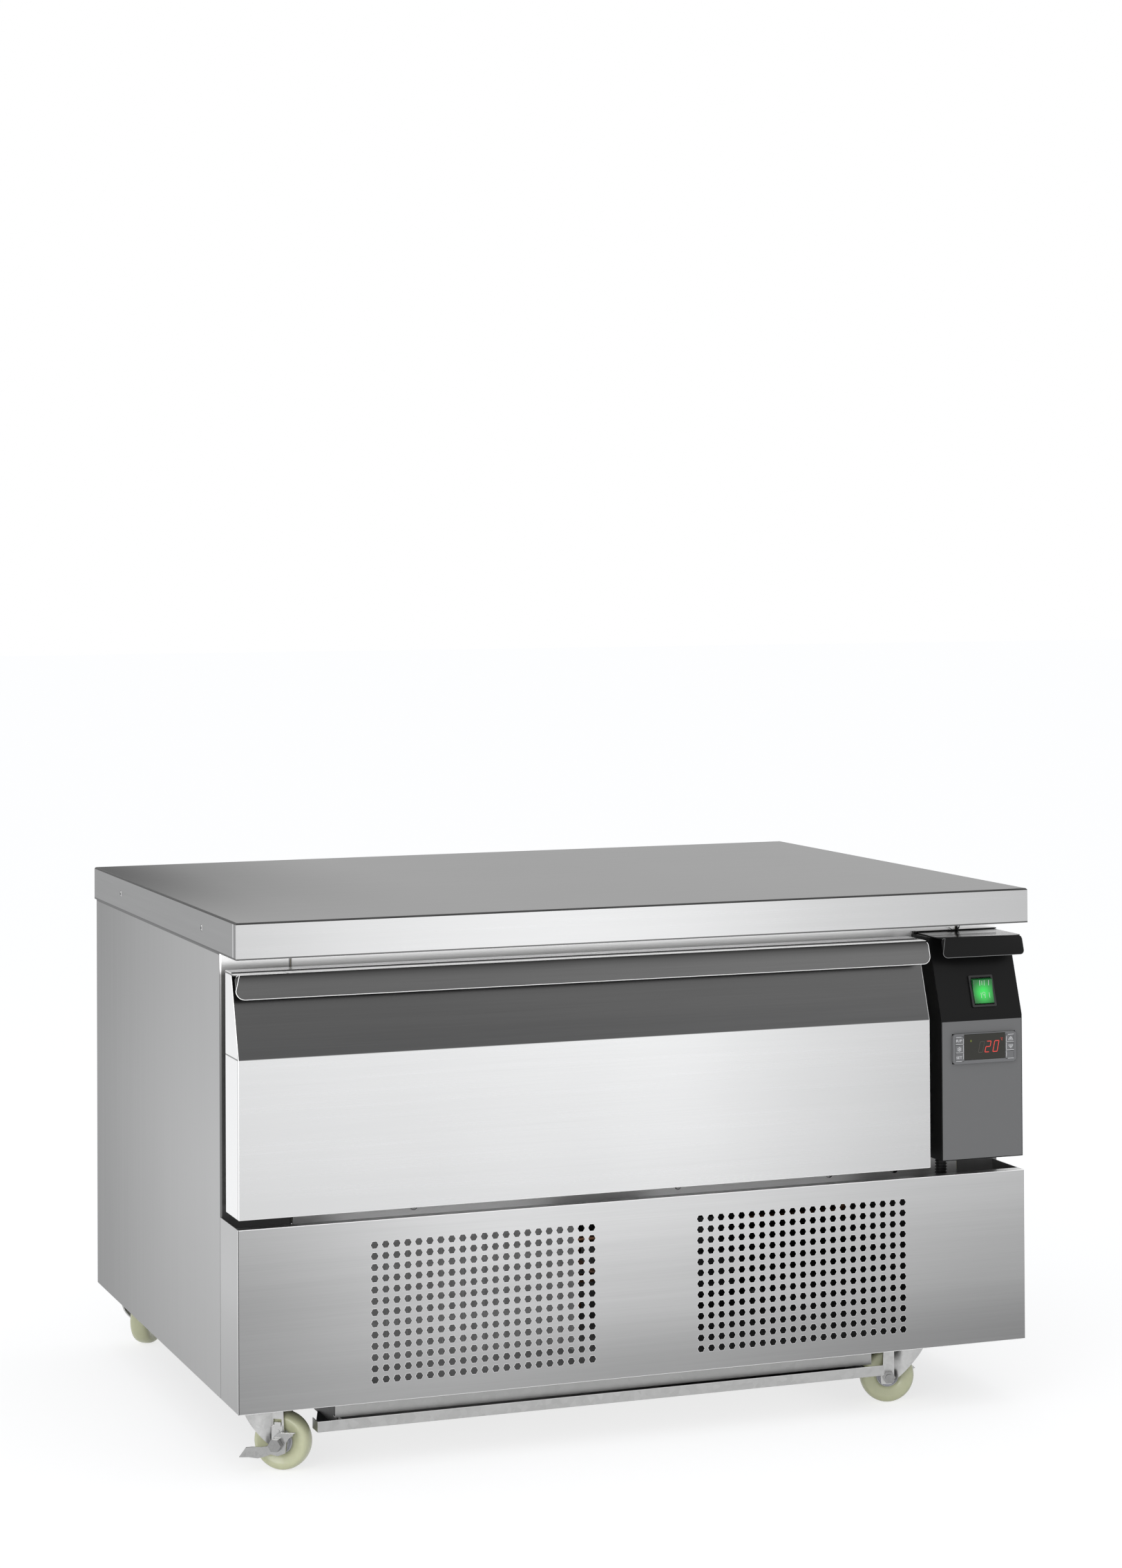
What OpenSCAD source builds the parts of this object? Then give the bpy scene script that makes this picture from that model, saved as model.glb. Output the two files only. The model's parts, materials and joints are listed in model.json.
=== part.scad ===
// Refrigerated drawer unit on four swivel casters. One wide drawer with a sloped front, a control
// column beside it and a perforated panel in front of the machine compartment.
// Millimetres. +Z is up and +Y is to the back. The origin is on the floor, under the middle.

/* [Worktop] */
// Width of the worktop from side to side
top_w = 900; // [880:1:960]
// Depth of the worktop from front to back
top_d = 680; // [670:1:720]
// Height of the worktop's folded edge
top_edge = 38; // [30:1:50]
// Radius of the worktop's bent top edges
top_bend = 2.5; // [1:0.5:5]
// Thickness of the worktop sheet
top_t = 1.5; // [1:0.1:2]
// Width of the sheet folded under the worktop's sides
top_fold = 20; // [16:1:40]
// Distance of the edge screws from the middle of the depth
edge_screw_y = 195; // [120:1:260]

/* [Cabinet] */
// Distance of the side panels behind the worktop's side edges
side_inset = 1.5; // [0.5:0.5:6]
// Distance of the cabinet's front frame behind the worktop's front edge
front_d = 74; // [66:1:84]
// Distance of the cabinet's back behind the worktop's back edge
back_inset = 22; // [16:1:30]
// Thickness of the folded steel sheets
sheet_t = 1.2; // [0.8:0.1:1.5]
// Outer radius of the cabinet's vertical bends
bend_r = 2.4; // [1.8:0.1:4]
// Height that the side panels hang below the base plate
skirt_h = 12; // [6:1:16]
// Height of the machine compartment above the base plate
machine_h = 163.5; // [160:0.5:190]
// Width of the left front stile beside the drawer opening
stile_l = 48.5; // [44:0.5:56]
// Width of the right front stile
stile_r = 50.5; // [46:0.5:56]
// Width of the left stile's tabs over and under the drawer opening
tab_l = 75.5; // [70:0.5:90]
// Height of the front rail's edge below the machine compartment's ceiling
rail_drop = 10; // [6:1:16]
// Height of the worktop's front rail
rail_top_h = 41; // [36:1:50]
// Diameter of the screw heads in the front rail
rail_screw_d = 8; // [6:0.5:10]

/* [Cold chamber] */
// Inner height of the liner
liner_h = 205; // [198:1:240]
// Thickness of the liner sheet
liner_t = 1; // [0.6:0.1:1.4]
// Thickness of the insulated floor between liner and machine compartment
floor_foam = 34; // [28:1:50]
// Thickness of the insulated back wall
back_foam = 48.6; // [42:0.2:56]
// Width of the chamber beside the drawer opening that holds the evaporator
evap_w = 110; // [104:1:124]
// Depth of the insulation behind the front column
column_foam = 42; // [36:1:50]
// Inner radius of the liner's corners
liner_r = 12; // [6:1:20]
// Outer diameter of the drain pipe
drain_d = 18; // [14:1:24]

/* [Lower panel] */
// Height of the lower front panel
panel_h = 186.5; // [182:0.5:196]
// Distance of the lower front panel's right edge from the worktop's right edge
panel_right_inset = 6.5; // [4:0.5:12]
// Width of a hexagonal hole across its corners
hex_d = 8.3; // [6:0.1:9.6]
// Distance between hole columns
hex_pitch_x = 11.9; // [11:0.1:13]
// Distance between hole rows
hex_pitch_z = 11.5; // [10.5:0.1:12.4]
// Number of hole columns in a field
hex_cols = 21; // [8:1:22]
// Number of hole rows in a field
hex_rows = 13; // [4:1:13]
// Distance of the left field's middle from the worktop's left edge
hex_left_inset = 264; // [250:1:290]
// Distance of the right field's middle from the worktop's right edge
hex_right_inset = 274.5; // [260:0.5:300]
// Height of the lowest hole row above the panel's lower edge
hex_row_z = 23; // [16:1:28]
// Depth of the folded flanges behind the panel
flange_d = 12; // [8:1:20]

/* [Drawer] */
// Distance of the drawer front's left edge from the worktop's left edge
drawer_left_inset = 2; // [1:0.5:8]
// Distance of the drawer front's right edge from the worktop's right edge
drawer_right_inset = 121; // [118:1:130]
// Gap between the lower panel and the drawer front
drawer_gap = 9.5; // [6:0.5:14]
// Depth of the drawer front's body
drawer_body_d = 52; // [44:1:60]
// Height of the upright part of the front, up to its crease
crease_h = 162; // [140:1:180]
// Height of the sloped part of the front
slope_h = 85.8; // [70:0.2:90]
// Depth of the sloped part of the front
slope_run = 29.2; // [22:0.2:34]
// Height of the handle lip
lip_h = 26; // [20:1:32]
// Radius of the handle lip's lower corners
lip_r = 9; // [4:0.5:12]
// Distance of the handle lip's left end from the drawer front's left edge
lip_left_inset = 5; // [0:0.5:10]
// Thickness of the drawer's inner frame
inner_frame_t = 6; // [4:0.5:8]
// Width of the gasket
gasket_w = 12; // [9:0.5:14]
// Height of the drawer's sides
box_h = 165; // [120:1:175]
// Width of the flanges that the food pans hang on
pan_rim_w = 10; // [6:1:12]
// Width of the bar between the two food pans
pan_bar_w = 9; // [6:0.5:14]
// Thickness of the drawer box sheet
box_t = 1; // [0.6:0.1:1.4]

/* [Slides] */
// Width of a closed slide between liner and drawer box
slide_w = 13; // [12:0.5:15]
// Height of a slide's cabinet member
slide_h = 45; // [38:1:50]
// Height of the slides' middle above the liner's floor
slide_rise = 92; // [60:1:130]
// Gap between the slides and the back of the cold chamber
slide_back_gap = 15; // [14:1:40]
// Thickness of the slide members
slide_t = 1.2; // [1:0.1:1.4]

/* [Control column] */
// Width of the control box
control_w = 99; // [94:1:104]
// Distance of the control box's right edge from the worktop's right edge
control_right_inset = 8; // [6:0.5:12]
// Height of the control box's lower edge above the drawer front's lower edge
control_lift = 6; // [2:0.5:12]
// Distance that the control box's lip is shifted to the right
control_lip_shift = 5; // [0:0.5:6]
// Height of the control box's lip
control_lip_h = 20.7; // [16:0.1:28]
// Width of the controller's bezel
bezel_w = 77.5; // [74:0.5:84]
// Height of the controller's bezel
bezel_h = 33; // [30:0.5:38]
// Height of the bezel's lower edge above the control box's lower edge
bezel_lift = 105.5; // [80:0.5:118]
// Thickness of the bezel in front of the control box
bezel_t = 3.3; // [3.1:0.1:3.5]
// Width of the display window
window_w = 50; // [44:0.5:54]
// Height of the display window
window_h = 28; // [22:0.5:29]
// Width of a key
key_w = 9.5; // [7:0.5:10]
// Height of a key
key_h = 8.6; // [6:0.1:8.8]
// Distance between two keys of a column
key_pitch = 9.2; // [9.1:0.1:9.6]
// Width of the switch frame
switch_w = 29.5; // [28:0.5:34]
// Height of the switch frame along the slope
switch_l = 35.5; // [34:0.5:40]
// Width of the rocker
rocker_w = 23.5; // [18:0.5:24]
// Radius of the rocker's round ends about its pivot
rocker_r = 15; // [12:0.5:15.5]
// Height of the switch's middle above the crease, along the slope
switch_rise = 28; // [22:0.5:34]
// Diameter of the wiring sleeve under the control box
sleeve_d = 11; // [8:1:16]

/* [Condensate tray] */
// Distance of the tray's front bar from the worktop's left edge
tray_bar_left_inset = 86; // [84:1:100]
// Distance of the tray's front bar from the worktop's right edge
tray_bar_right_inset = 175; // [172:1:188]
// Distance of the tray's left side from the worktop's left edge
tray_left_inset = 112; // [110:1:130]
// Distance of the tray's right side from the worktop's right edge
tray_right_inset = 200; // [198:1:220]
// Distance of the tray's front bar behind the worktop's front edge
tray_front_inset = 8; // [6:0.5:10]
// Depth of the tray from front to back
tray_d = 580; // [540:1:590]
// Height of the tray
tray_h = 11; // [9:0.5:12]
// Height of the front rail that the tray slides under
tray_rail_h = 26; // [24:1:27]
// Length of the front bar's left end return
tray_return = 20; // [10:1:20]

/* [Casters] */
// Height of a caster from the floor to the top of its plate
caster_h = 81; // [80:0.5:84]
// Diameter of a caster wheel
wheel_d = 60; // [56:0.5:61]
// Width of a caster wheel
wheel_w = 22; // [18:0.5:22]
// Distance of the wheel axle from the swivel axis
trail = 22; // [16:0.5:24]
// Side of the square caster plate
caster_plate = 60; // [54:1:62]
// Thickness of the caster plate
caster_plate_t = 2.5; // [2:0.1:3]
// Diameter of the wheel axle
axle_d = 8; // [6:0.5:9]
// Thickness of the fork sheet
fork_t = 2; // [1.5:0.1:2.5]
// Outer radius of the fork's round front
fork_r = 21; // [19:0.5:23]
// Diameter of the swivel pin
pin_d = 10; // [8:0.5:12]
// Distance of the left swivel axes from the worktop's left edge
caster_left_inset = 40.7; // [36:0.1:46]
// Distance of the right swivel axes from the worktop's right edge
caster_right_inset = 127; // [90:0.5:130]
// Distance of the front swivel axes behind the worktop's front edge
caster_front_inset = 53; // [50:0.5:54]
// Distance of the rear swivel axes from the worktop's back edge
caster_back_inset = 57; // [55:0.5:66]
// Diameter of the caster bolts
caster_bolt_d = 6; // [5:0.5:7]

/* [Refrigeration] */
// Radius of the compressor's shell
compressor_r = 70; // [60:1:74]
// Height of the compressor's shell
compressor_h = 124; // [105:1:126]
// Distance of the compressor's axis from the worktop's right edge
compressor_inset = 290; // [285:1:300]
// Width of the condenser
condenser_w = 258; // [220:1:270]
// Height of the condenser
condenser_h = 148; // [130:1:150]
// Depth of the condenser
condenser_d = 44; // [36:1:48]
// Diameter of the condenser fan's opening
fan_d = 136; // [110:1:140]
// Number of condenser fins
condenser_fins = 32; // [16:1:40]
// Diameter of the refrigerant pipes
pipe_d = 9.5; // [6:0.5:10]
// Bend radius of the refrigerant pipes
pipe_bend = 16; // [12:1:20]
// Length of the evaporator from front to back
evap_l = 200; // [150:1:210]
// Diameter of the evaporator fan's opening
evap_fan_d = 116; // [90:1:120]
// Number of evaporator fins
evap_fins = 20; // [10:1:30]
// Diameter of the cable gland's bore
gland_bore = 8; // [6:0.5:10]
// Length of the cable gland behind the rear grille
gland_l = 26.4; // [22:0.1:28]

/* [Hidden] */

$fn = 48;

// Gaps between pieces
seam = 0.2;
frame_seam = 0.8;
fit = 0.3;
running_fit = 0.05;
front_set = 0.3;
overcut = 1;

// Cabinet planes
left_x = -top_w / 2;
right_x = top_w / 2;
front_y = -top_d / 2 + front_set;
cab_x0 = left_x + side_inset;
cab_x1 = right_x - side_inset;
cab_y0 = -top_d / 2 + front_d;
cab_y1 = top_d / 2 - back_inset;
rear_y = cab_y1 - sheet_t;
frame_y = cab_y0 + sheet_t;

// Heights from the floor up
base_t = 1.5;
base_z0 = caster_h;
base_z1 = base_z0 + base_t;
cab_z0 = base_z0 - skirt_h;
part_z = base_z1 + machine_h;
liner_z0 = part_z + floor_foam + liner_t;
liner_z1 = liner_z0 + liner_h;
cab_z1 = liner_z1 + liner_t + rail_top_h;
top_z = cab_z1 + top_edge;
rail_z0 = part_z - rail_drop;

// Places across the unit
hex_left_x = left_x + hex_left_inset;
hex_right_x = right_x - hex_right_inset;
tray_bar_left = left_x + tray_bar_left_inset;
tray_bar_right = right_x - tray_bar_right_inset;
tray_left = left_x + tray_left_inset;
tray_right = right_x - tray_right_inset;
caster_left_x = left_x + caster_left_inset;
caster_right_x = right_x - caster_right_inset;
compressor_x = right_x - compressor_inset;

// Drawer opening and cold chamber
open_x0 = cab_x0 + stile_l;
chamber_x1 = cab_x1 - stile_l;
open_x1 = chamber_x1 - evap_w;
chamber_y0 = cab_y0 + column_foam + liner_t;
chamber_y1 = rear_y - back_foam - liner_t;
seam_l = cab_x0 + tab_l;
seam_r = cab_x1 - stile_r;

// Front surfaces
panel_z1 = cab_z0 + panel_h;
drawer_x0 = left_x + drawer_left_inset;
drawer_x1 = right_x - drawer_right_inset;
drawer_z0 = panel_z1 + drawer_gap;
drawer_back_y = front_y + drawer_body_d;
crease_z = drawer_z0 + crease_h;
slope_z1 = crease_z + slope_h;
lip_z1 = slope_z1 + sheet_t;
slope_rate = slope_run / slope_h;
slope_angle = atan(slope_rate);
slant = 1 / cos(slope_angle);

function slope_y(z) = front_y + (z - crease_z) * slope_rate;

// Side view of a sloped front, drawn inward by the same distance all round but at the back
function front_profile(low, back, inward) = [
    [back, low + inward],
    [front_y + inward, low + inward],
    [front_y + inward, crease_z - inward * (slant - 1) / slope_rate],
    [slope_y(slope_z1 - inward) + inward * slant, slope_z1 - inward],
    [back, slope_z1 - inward]
];

// A block between two opposite corners
module block(low, high) {
    translate(low) cube(high - low);
}

// A flat shape of the plan, drawn up from z0 to z1
module rise(z0, z1) {
    translate([0, 0, z0]) linear_extrude(z1 - z0) children();
}

// A flat shape of the front view, drawn back from y0 to y1
module backward(y0, y1) {
    translate([0, y1, 0]) rotate([90, 0, 0]) linear_extrude(y1 - y0) children();
}

// A flat shape of the side view (y, z), drawn right from x0 to x1
module across(x0, x1) {
    translate([x0, 0, 0]) rotate([90, 0, 90]) linear_extrude(x1 - x0) children();
}

// A rectangle with round corners, between two opposite corners
module round_rect(low, high, r) {
    size = high - low;
    translate([low.x + r, low.y]) square([size.x - 2 * r, size.y]);
    translate([low.x, low.y + r]) square([size.x, size.y - 2 * r]);
    for (x = [low.x + r, high.x - r], y = [low.y + r, high.y - r])
        translate([x, y]) circle(r);
}

// A cylinder along X, from x0 to x1
module rod_x(x0, x1, y, z, d) {
    translate([x0, y, z]) rotate([0, 90, 0]) cylinder(d = d, h = x1 - x0);
}

// A cylinder along Y, from y0 to y1
module rod_y(y0, y1, x, z, d) {
    translate([x, y1, z]) rotate([90, 0, 0]) cylinder(d = d, h = y1 - y0);
}

// A cylinder along Z, from z0 to z1
module rod_z(z0, z1, x, y, d) {
    translate([x, y, z0]) cylinder(d = d, h = z1 - z0);
}

// The waste of a rounded edge: a square bar along X without its inner quarter circle
module edge_waste(length, r) {
    rotate([0, 90, 0]) difference() {
        translate([-overcut, -r, -overcut]) cube([r + overcut, r + overcut, length + 2 * overcut]);
        translate([r, -r, -2 * overcut]) cylinder(r = r, h = length + 4 * overcut);
    }
}

// Worktop and its countersunk edge screws
screw_head_d = 7;
screw_head_t = 1.4;
screw_d = 3.5;
screw_l = 14;
edge_screw_z = cab_z1 + top_edge / 2;
rail_screw_x = [-240, 60, 240, 320];
rail_screw_z = rail_z0 + 16;

module edge_screw_holes() {
    for (turn = [0, 180], y = [-edge_screw_y, edge_screw_y]) rotate([0, 0, turn]) {
        rod_x(right_x - screw_head_t - fit, right_x + overcut, y, edge_screw_z, screw_head_d + fit);
        rod_x(right_x - screw_l, right_x, y, edge_screw_z, screw_d + 2 * running_fit);
    }
}

// The sheet is folded down round the edge and back under it, and under the whole front overhang
module worktop() {
    color("silver") difference() {
        block([left_x, -top_d / 2, cab_z1], [right_x, top_d / 2, top_z]);
        block([left_x + top_t, -top_d / 2 + top_t, cab_z1 + top_t],
            [right_x - top_t, top_d / 2 - top_t, top_z - top_t]);
        block([left_x + top_fold, cab_y0 + top_fold, cab_z1 - overcut],
            [right_x - top_fold, top_d / 2 - top_fold, cab_z1 + 2 * top_t]);
        for (turn = [0, 180]) rotate([0, 0, turn]) {
            translate([left_x, top_d / 2, top_z]) edge_waste(top_w, top_bend);
            rotate([0, 0, 90]) translate([-top_d / 2, top_w / 2, top_z]) edge_waste(top_d, top_bend);
        }
        edge_screw_holes();
    }
}

module worktop_core() {
    board_inset = top_t + top_bend;
    color("tan") difference() {
        block([left_x + top_t, -top_d / 2 + top_t, cab_z1 + top_t],
            [right_x - top_t, top_d / 2 - top_t, top_z - board_inset]);
        edge_screw_holes();
    }
    color("tan") block([left_x + board_inset, -top_d / 2 + board_inset, top_z - board_inset],
        [right_x - board_inset, top_d / 2 - board_inset, top_z - top_t]);
}

module screws() {
    color("gainsboro") {
        for (side = [0, 180], y = [-edge_screw_y, edge_screw_y]) rotate([0, 0, side]) {
            rod_x(right_x - screw_head_t - fit, right_x - fit, y, edge_screw_z, screw_head_d);
            rod_x(right_x - screw_l, right_x - screw_head_t - fit, y, edge_screw_z, screw_d);
        }
        for (x = rail_screw_x) rod_y(cab_y0 - screw_head_t, cab_y0, x, rail_screw_z, rail_screw_d);
    }
}

// Cabinet shell
rear_flange = 22;

module cabinet_outline(inward, r) {
    round_rect([cab_x0 + inward, cab_y0 + inward], [cab_x1 - inward, cab_y1 - inward], r);
}

// The left wall of the shell with a front flange of the given width
module left_wall(z0, z1, stile) {
    rise(z0, z1) intersection() {
        difference() {
            cabinet_outline(0, bend_r);
            cabinet_outline(sheet_t, bend_r - sheet_t);
        }
        union() {
            translate([cab_x0, cab_y0]) square([stile, bend_r]);
            translate([cab_x0, cab_y0]) square([bend_r, cab_y1 - cab_y0]);
            translate([cab_x0, cab_y1 - bend_r]) square([rear_flange, bend_r]);
        }
    }
}

module left_side_panel() {
    color("darkgray") {
        left_wall(cab_z0, base_z1, bend_r);
        left_wall(base_z1, cab_z1, stile_l);
        left_wall(rail_z0, liner_z0, tab_l);
        left_wall(liner_z1, cab_z1, tab_l);
    }
}

module right_side_panel() {
    color("darkgray") mirror([1, 0, 0]) {
        left_wall(cab_z0, base_z1, bend_r);
        left_wall(base_z1, cab_z1, stile_r);
    }
}

module front_frame() {
    color("lightgray") {
        block([seam_l + frame_seam, cab_y0, liner_z1], [seam_r - frame_seam, frame_y, cab_z1]);
        block([seam_l + frame_seam, cab_y0, rail_z0], [seam_r - frame_seam, frame_y, liner_z0]);
        block([open_x1, cab_y0, liner_z0 + seam], [seam_r - frame_seam, frame_y, liner_z1 - seam]);
    }
}

module rear_panel() {
    color("darkgray")
        block([cab_x0 + bend_r, rear_y - sheet_t, part_z], [cab_x1 - bend_r, rear_y, cab_z1]);
}

// Rear grille: rows of slots over the machine compartment, and the hole for the cable gland
slot_w = 70;
slot_h = 6;
slot_pitch_x = 90;
slot_pitch_z = 14;
slot_cols = 6;
slot_rows = 7;
gland_x = 360;
gland_z = base_z1 + 30;
gland_d = 22;

module rear_grille() {
    mid_z = base_z1 + machine_h / 2;
    color("gray") difference() {
        block([cab_x0 + bend_r, rear_y - sheet_t, base_z1], [cab_x1 - bend_r, rear_y, part_z - sheet_t]);
        backward(rear_y - sheet_t - overcut, rear_y + overcut)
            for (i = [0 : slot_cols - 1], j = [0 : slot_rows - 1]) {
                x = (i - slot_cols / 2 - 0.5) * slot_pitch_x;
                z = mid_z + (j - (slot_rows - 1) / 2) * slot_pitch_z;
                round_rect([x, z - slot_h / 2], [x + slot_w, z + slot_h / 2], slot_h / 2.1);
            }
        rod_y(rear_y - sheet_t - overcut, rear_y + overcut, gland_x, gland_z, gland_d - 4);
    }
}

module cable_gland() {
    nut_t = 5;
    dome_t = 9;
    rim_t = gland_l - nut_t - dome_t;
    color("dimgray") difference() {
        union() {
            rod_y(rear_y - sheet_t - 3, rear_y, gland_x, gland_z, gland_d - 4 - fit);
            translate([gland_x, rear_y + nut_t, gland_z])
                rotate([90, 0, 0]) cylinder(d = gland_d + 4, h = nut_t, $fn = 6);
            rod_y(rear_y + nut_t, rear_y + nut_t + rim_t, gland_x, gland_z, gland_d);
            translate([gland_x, rear_y + nut_t + rim_t, gland_z])
                rotate([-90, 0, 0]) cylinder(d1 = gland_d, d2 = gland_bore + 5, h = dome_t);
        }
        rod_y(rear_y - sheet_t - 3 - overcut, rear_y + gland_l + overcut, gland_x, gland_z, gland_bore);
    }
}

// Cold chamber
drain_x = open_x1 - 60;
drain_y = chamber_y1 - 40;
riser_x = chamber_x1 - 40;
riser_hole_d = pipe_d + 12;

module chamber_plan(grow) {
    translate([open_x0 - grow, frame_y])
        square([open_x1 - open_x0 + 2 * grow, chamber_y1 - frame_y - liner_r]);
    round_rect([open_x0 - grow, chamber_y0 - grow], [chamber_x1 + grow, chamber_y1 + grow], liner_r + grow);
}

module floor_holes(z0, z1, gap) {
    rod_z(z0, z1, drain_x, drain_y, drain_d + 2 * gap);
    rod_z(z0, z1, riser_x, riser_y, riser_hole_d);
}

module inner_liner() {
    color("gainsboro") difference() {
        rise(liner_z0 - liner_t, liner_z1 + liner_t) chamber_plan(liner_t);
        rise(liner_z0, liner_z1) {
            chamber_plan(0);
            translate([open_x0, frame_y - overcut]) square([open_x1 - open_x0, 2 * overcut]);
        }
        floor_holes(liner_z0 - liner_t - overcut, liner_z0 + overcut, fit);
    }
}

module foam_insulation() {
    color("khaki") difference() {
        rise(part_z, cab_z1) intersection() {
            cabinet_outline(sheet_t, bend_r);
            translate([cab_x0, cab_y0]) square([cab_x1 - cab_x0, rear_y - sheet_t - cab_y0]);
        }
        rise(liner_z0 - liner_t, liner_z1 + liner_t) {
            chamber_plan(liner_t);
            translate([open_x0 - liner_t, cab_y0])
                square([open_x1 - open_x0 + 2 * liner_t, 2 * sheet_t]);
        }
        floor_holes(part_z - overcut, liner_z0, fit);
    }
}

// Round cuts at the four bends of the shell
module corner_cuts(z0, z1) {
    for (x = [cab_x0, cab_x1], y = [cab_y0, cab_y1]) rod_z(z0, z1, x, y, 4 * bend_r);
}

module partition_plate() {
    color("darkgray") difference() {
        block([cab_x0 + sheet_t, frame_y, part_z - sheet_t], [cab_x1 - sheet_t, rear_y, part_z]);
        corner_cuts(part_z - 2 * sheet_t, part_z + sheet_t);
        floor_holes(part_z - sheet_t - overcut, part_z + overcut, fit);
    }
}

module drain_pipe() {
    drain_z0 = base_z0 - 10;
    drain_wall = 2;
    funnel_h = 2;
    color("ivory") difference() {
        union() {
            rod_z(drain_z0, liner_z0, drain_x, drain_y, drain_d);
            rod_z(liner_z0, liner_z0 + funnel_h, drain_x, drain_y, drain_d + 8);
        }
        rod_z(drain_z0 - overcut, liner_z0 + funnel_h + overcut, drain_x, drain_y, drain_d - 2 * drain_wall);
    }
}

// Base plate with its front strip behind the lower panel
panel_x0 = cab_x0;
panel_x1 = right_x - panel_right_inset;
base_front_y = front_y + sheet_t + fit;
lip_up = 4;
bolt_spread = caster_plate / 2 - 9;
caster_x = [caster_left_x, caster_right_x];
caster_y = [-top_d / 2 + caster_front_inset, top_d / 2 - caster_back_inset];

module at_casters() {
    for (x = caster_x, y = caster_y) translate([x, y, 0]) children();
}

module at_caster(i, j) {
    translate([caster_x[i], caster_y[j], 0]) children();
}

module base_plate() {
    color("lightgray") difference() {
        union() {
            block([cab_x0 + sheet_t, frame_y, base_z0], [cab_x1 - sheet_t, rear_y, base_z1]);
            block([panel_x0 + sheet_t, base_front_y, base_z0], [panel_x1 - sheet_t, frame_y, base_z1]);
            block([panel_x0 + sheet_t, base_front_y, base_z0],
                [panel_x1 - sheet_t, base_front_y + base_t, base_z1 + lip_up]);
        }
        corner_cuts(base_z0 - overcut, base_z1 + overcut);
        block([panel_x1 - sheet_t, cab_y0 - overcut, base_z0 - overcut],
            [cab_x1, frame_y, base_z1 + overcut]);
        rod_z(base_z0 - overcut, base_z1 + overcut, drain_x, drain_y, drain_d + 2 * fit);
        at_casters() for (x = [-bolt_spread, bolt_spread], y = [-bolt_spread, bolt_spread])
            rod_z(base_z0 - overcut, base_z1 + overcut, x, y, caster_bolt_d + fit);
    }
}

// Lower front panel: a flat sheet with two fields of hexagonal holes, and the frame that backs it
module hex_field(middle_x) {
    for (i = [0 : hex_cols - 1], j = [0 : hex_rows - 1])
        translate([
            middle_x + (i - (hex_cols - 1) / 2) * hex_pitch_x,
            cab_z0 + hex_row_z + j * hex_pitch_z
        ]) circle(d = hex_d, $fn = 6);
}

module lower_front_panel() {
    color("silver") backward(front_y, front_y + sheet_t) difference() {
        translate([panel_x0, cab_z0]) square([panel_x1 - panel_x0, panel_h]);
        hex_field(hex_left_x);
        hex_field(hex_right_x);
    }
}

module lower_panel_frame() {
    back_y = front_y + sheet_t;
    color("silver") {
        block([panel_x0, back_y, cab_z0], [panel_x0 + sheet_t, cab_y0, panel_z1]);
        block([panel_x1 - sheet_t, back_y, cab_z0], [panel_x1, cab_y0, panel_z1]);
        for (z = [cab_z0, panel_z1 - sheet_t])
            block([panel_x0 + sheet_t, back_y, z], [panel_x1 - sheet_t, back_y + flange_d, z + sheet_t]);
    }
}

// Condensate tray, sliding on two hanging runners under a fixed front rail
tray_front_y = -top_d / 2 + tray_front_inset;
tray_z1 = base_z0 - tray_rail_h - 2;
tray_z0 = tray_z1 - tray_h;
tray_back_y = tray_front_y + tray_d;
tray_t = 1;
runner_t = 1.5;
runner_foot = 10;
tray_rail_y = tray_front_y + 14;
tray_rail_x0 = tray_left - 3;
tray_rail_x1 = tray_right + 15;

module runner_profile() {
    square_x = fit + runner_t;
    translate([-square_x, tray_z0 - runner_t]) square([runner_t, base_z0 - tray_z0 + runner_t]);
    translate([-square_x, tray_z0 - runner_t]) square([square_x + runner_foot, runner_t]);
    translate([-square_x - runner_foot, base_z0 - runner_t]) square([square_x + runner_foot, runner_t]);
}

module tray_runners() {
    runner_y0 = tray_rail_y + 2 * runner_t;
    color("lightgray") {
        translate([tray_left, 0, 0]) backward(runner_y0, tray_back_y) runner_profile();
        translate([tray_right, 0, 0]) mirror([1, 0, 0]) backward(runner_y0, tray_back_y) runner_profile();
        block([tray_rail_x0, tray_rail_y, base_z0 - tray_rail_h],
            [tray_rail_x1, tray_rail_y + runner_t, base_z0]);
    }
}

module condensate_tray() {
    bar_d = 12;
    color("gainsboro") {
        difference() {
            block([tray_left, tray_front_y, tray_z0], [tray_right, tray_back_y, tray_z1]);
            block([tray_left + tray_t, tray_front_y + tray_t, tray_z0 + tray_t],
                [tray_right - tray_t, tray_back_y - tray_t, tray_z1 + overcut]);
        }
        block([tray_bar_left, tray_front_y, tray_z0], [tray_bar_right, tray_front_y + sheet_t, tray_z1]);
        block([tray_bar_left, tray_front_y, tray_z0], [tray_left, tray_front_y + bar_d, tray_z0 + tray_t]);
        block([tray_right, tray_front_y, tray_z0], [tray_bar_right, tray_front_y + bar_d, tray_z0 + tray_t]);
        block([tray_bar_left, tray_front_y, tray_z0],
            [tray_bar_left + tray_t, tray_front_y + tray_return, tray_z1]);
    }
}

// Telescopic slides: cabinet, intermediate and drawer member on each side of the drawer box
slide_z = liner_z0 + slide_rise;
slide_y0 = frame_y + 2;
slide_l = chamber_y1 - slide_back_gap - slide_y0;
slide_x_mid = (open_x0 + open_x1) / 2;

module both_sides() {
    children();
    translate([2 * slide_x_mid, 0, 0]) mirror([1, 0, 0]) children();
}

// A channel's section (x, z), open to the right, centred on z = 0
module channel(x0, x1, half) {
    difference() {
        translate([x0, -half]) square([x1 - x0, 2 * half]);
        translate([x0 + slide_t, -half + slide_t]) square([x1 - x0, 2 * (half - slide_t)]);
    }
}

half_outer = slide_h / 2;
half_middle = half_outer - slide_t - fit;
half_inner = half_middle - slide_t - fit;

module slide_cabinet_members() {
    color("silver") both_sides() translate([open_x0, 0, slide_z])
        backward(slide_y0, slide_y0 + slide_l) channel(0, slide_w * 0.72, half_outer);
}

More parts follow.
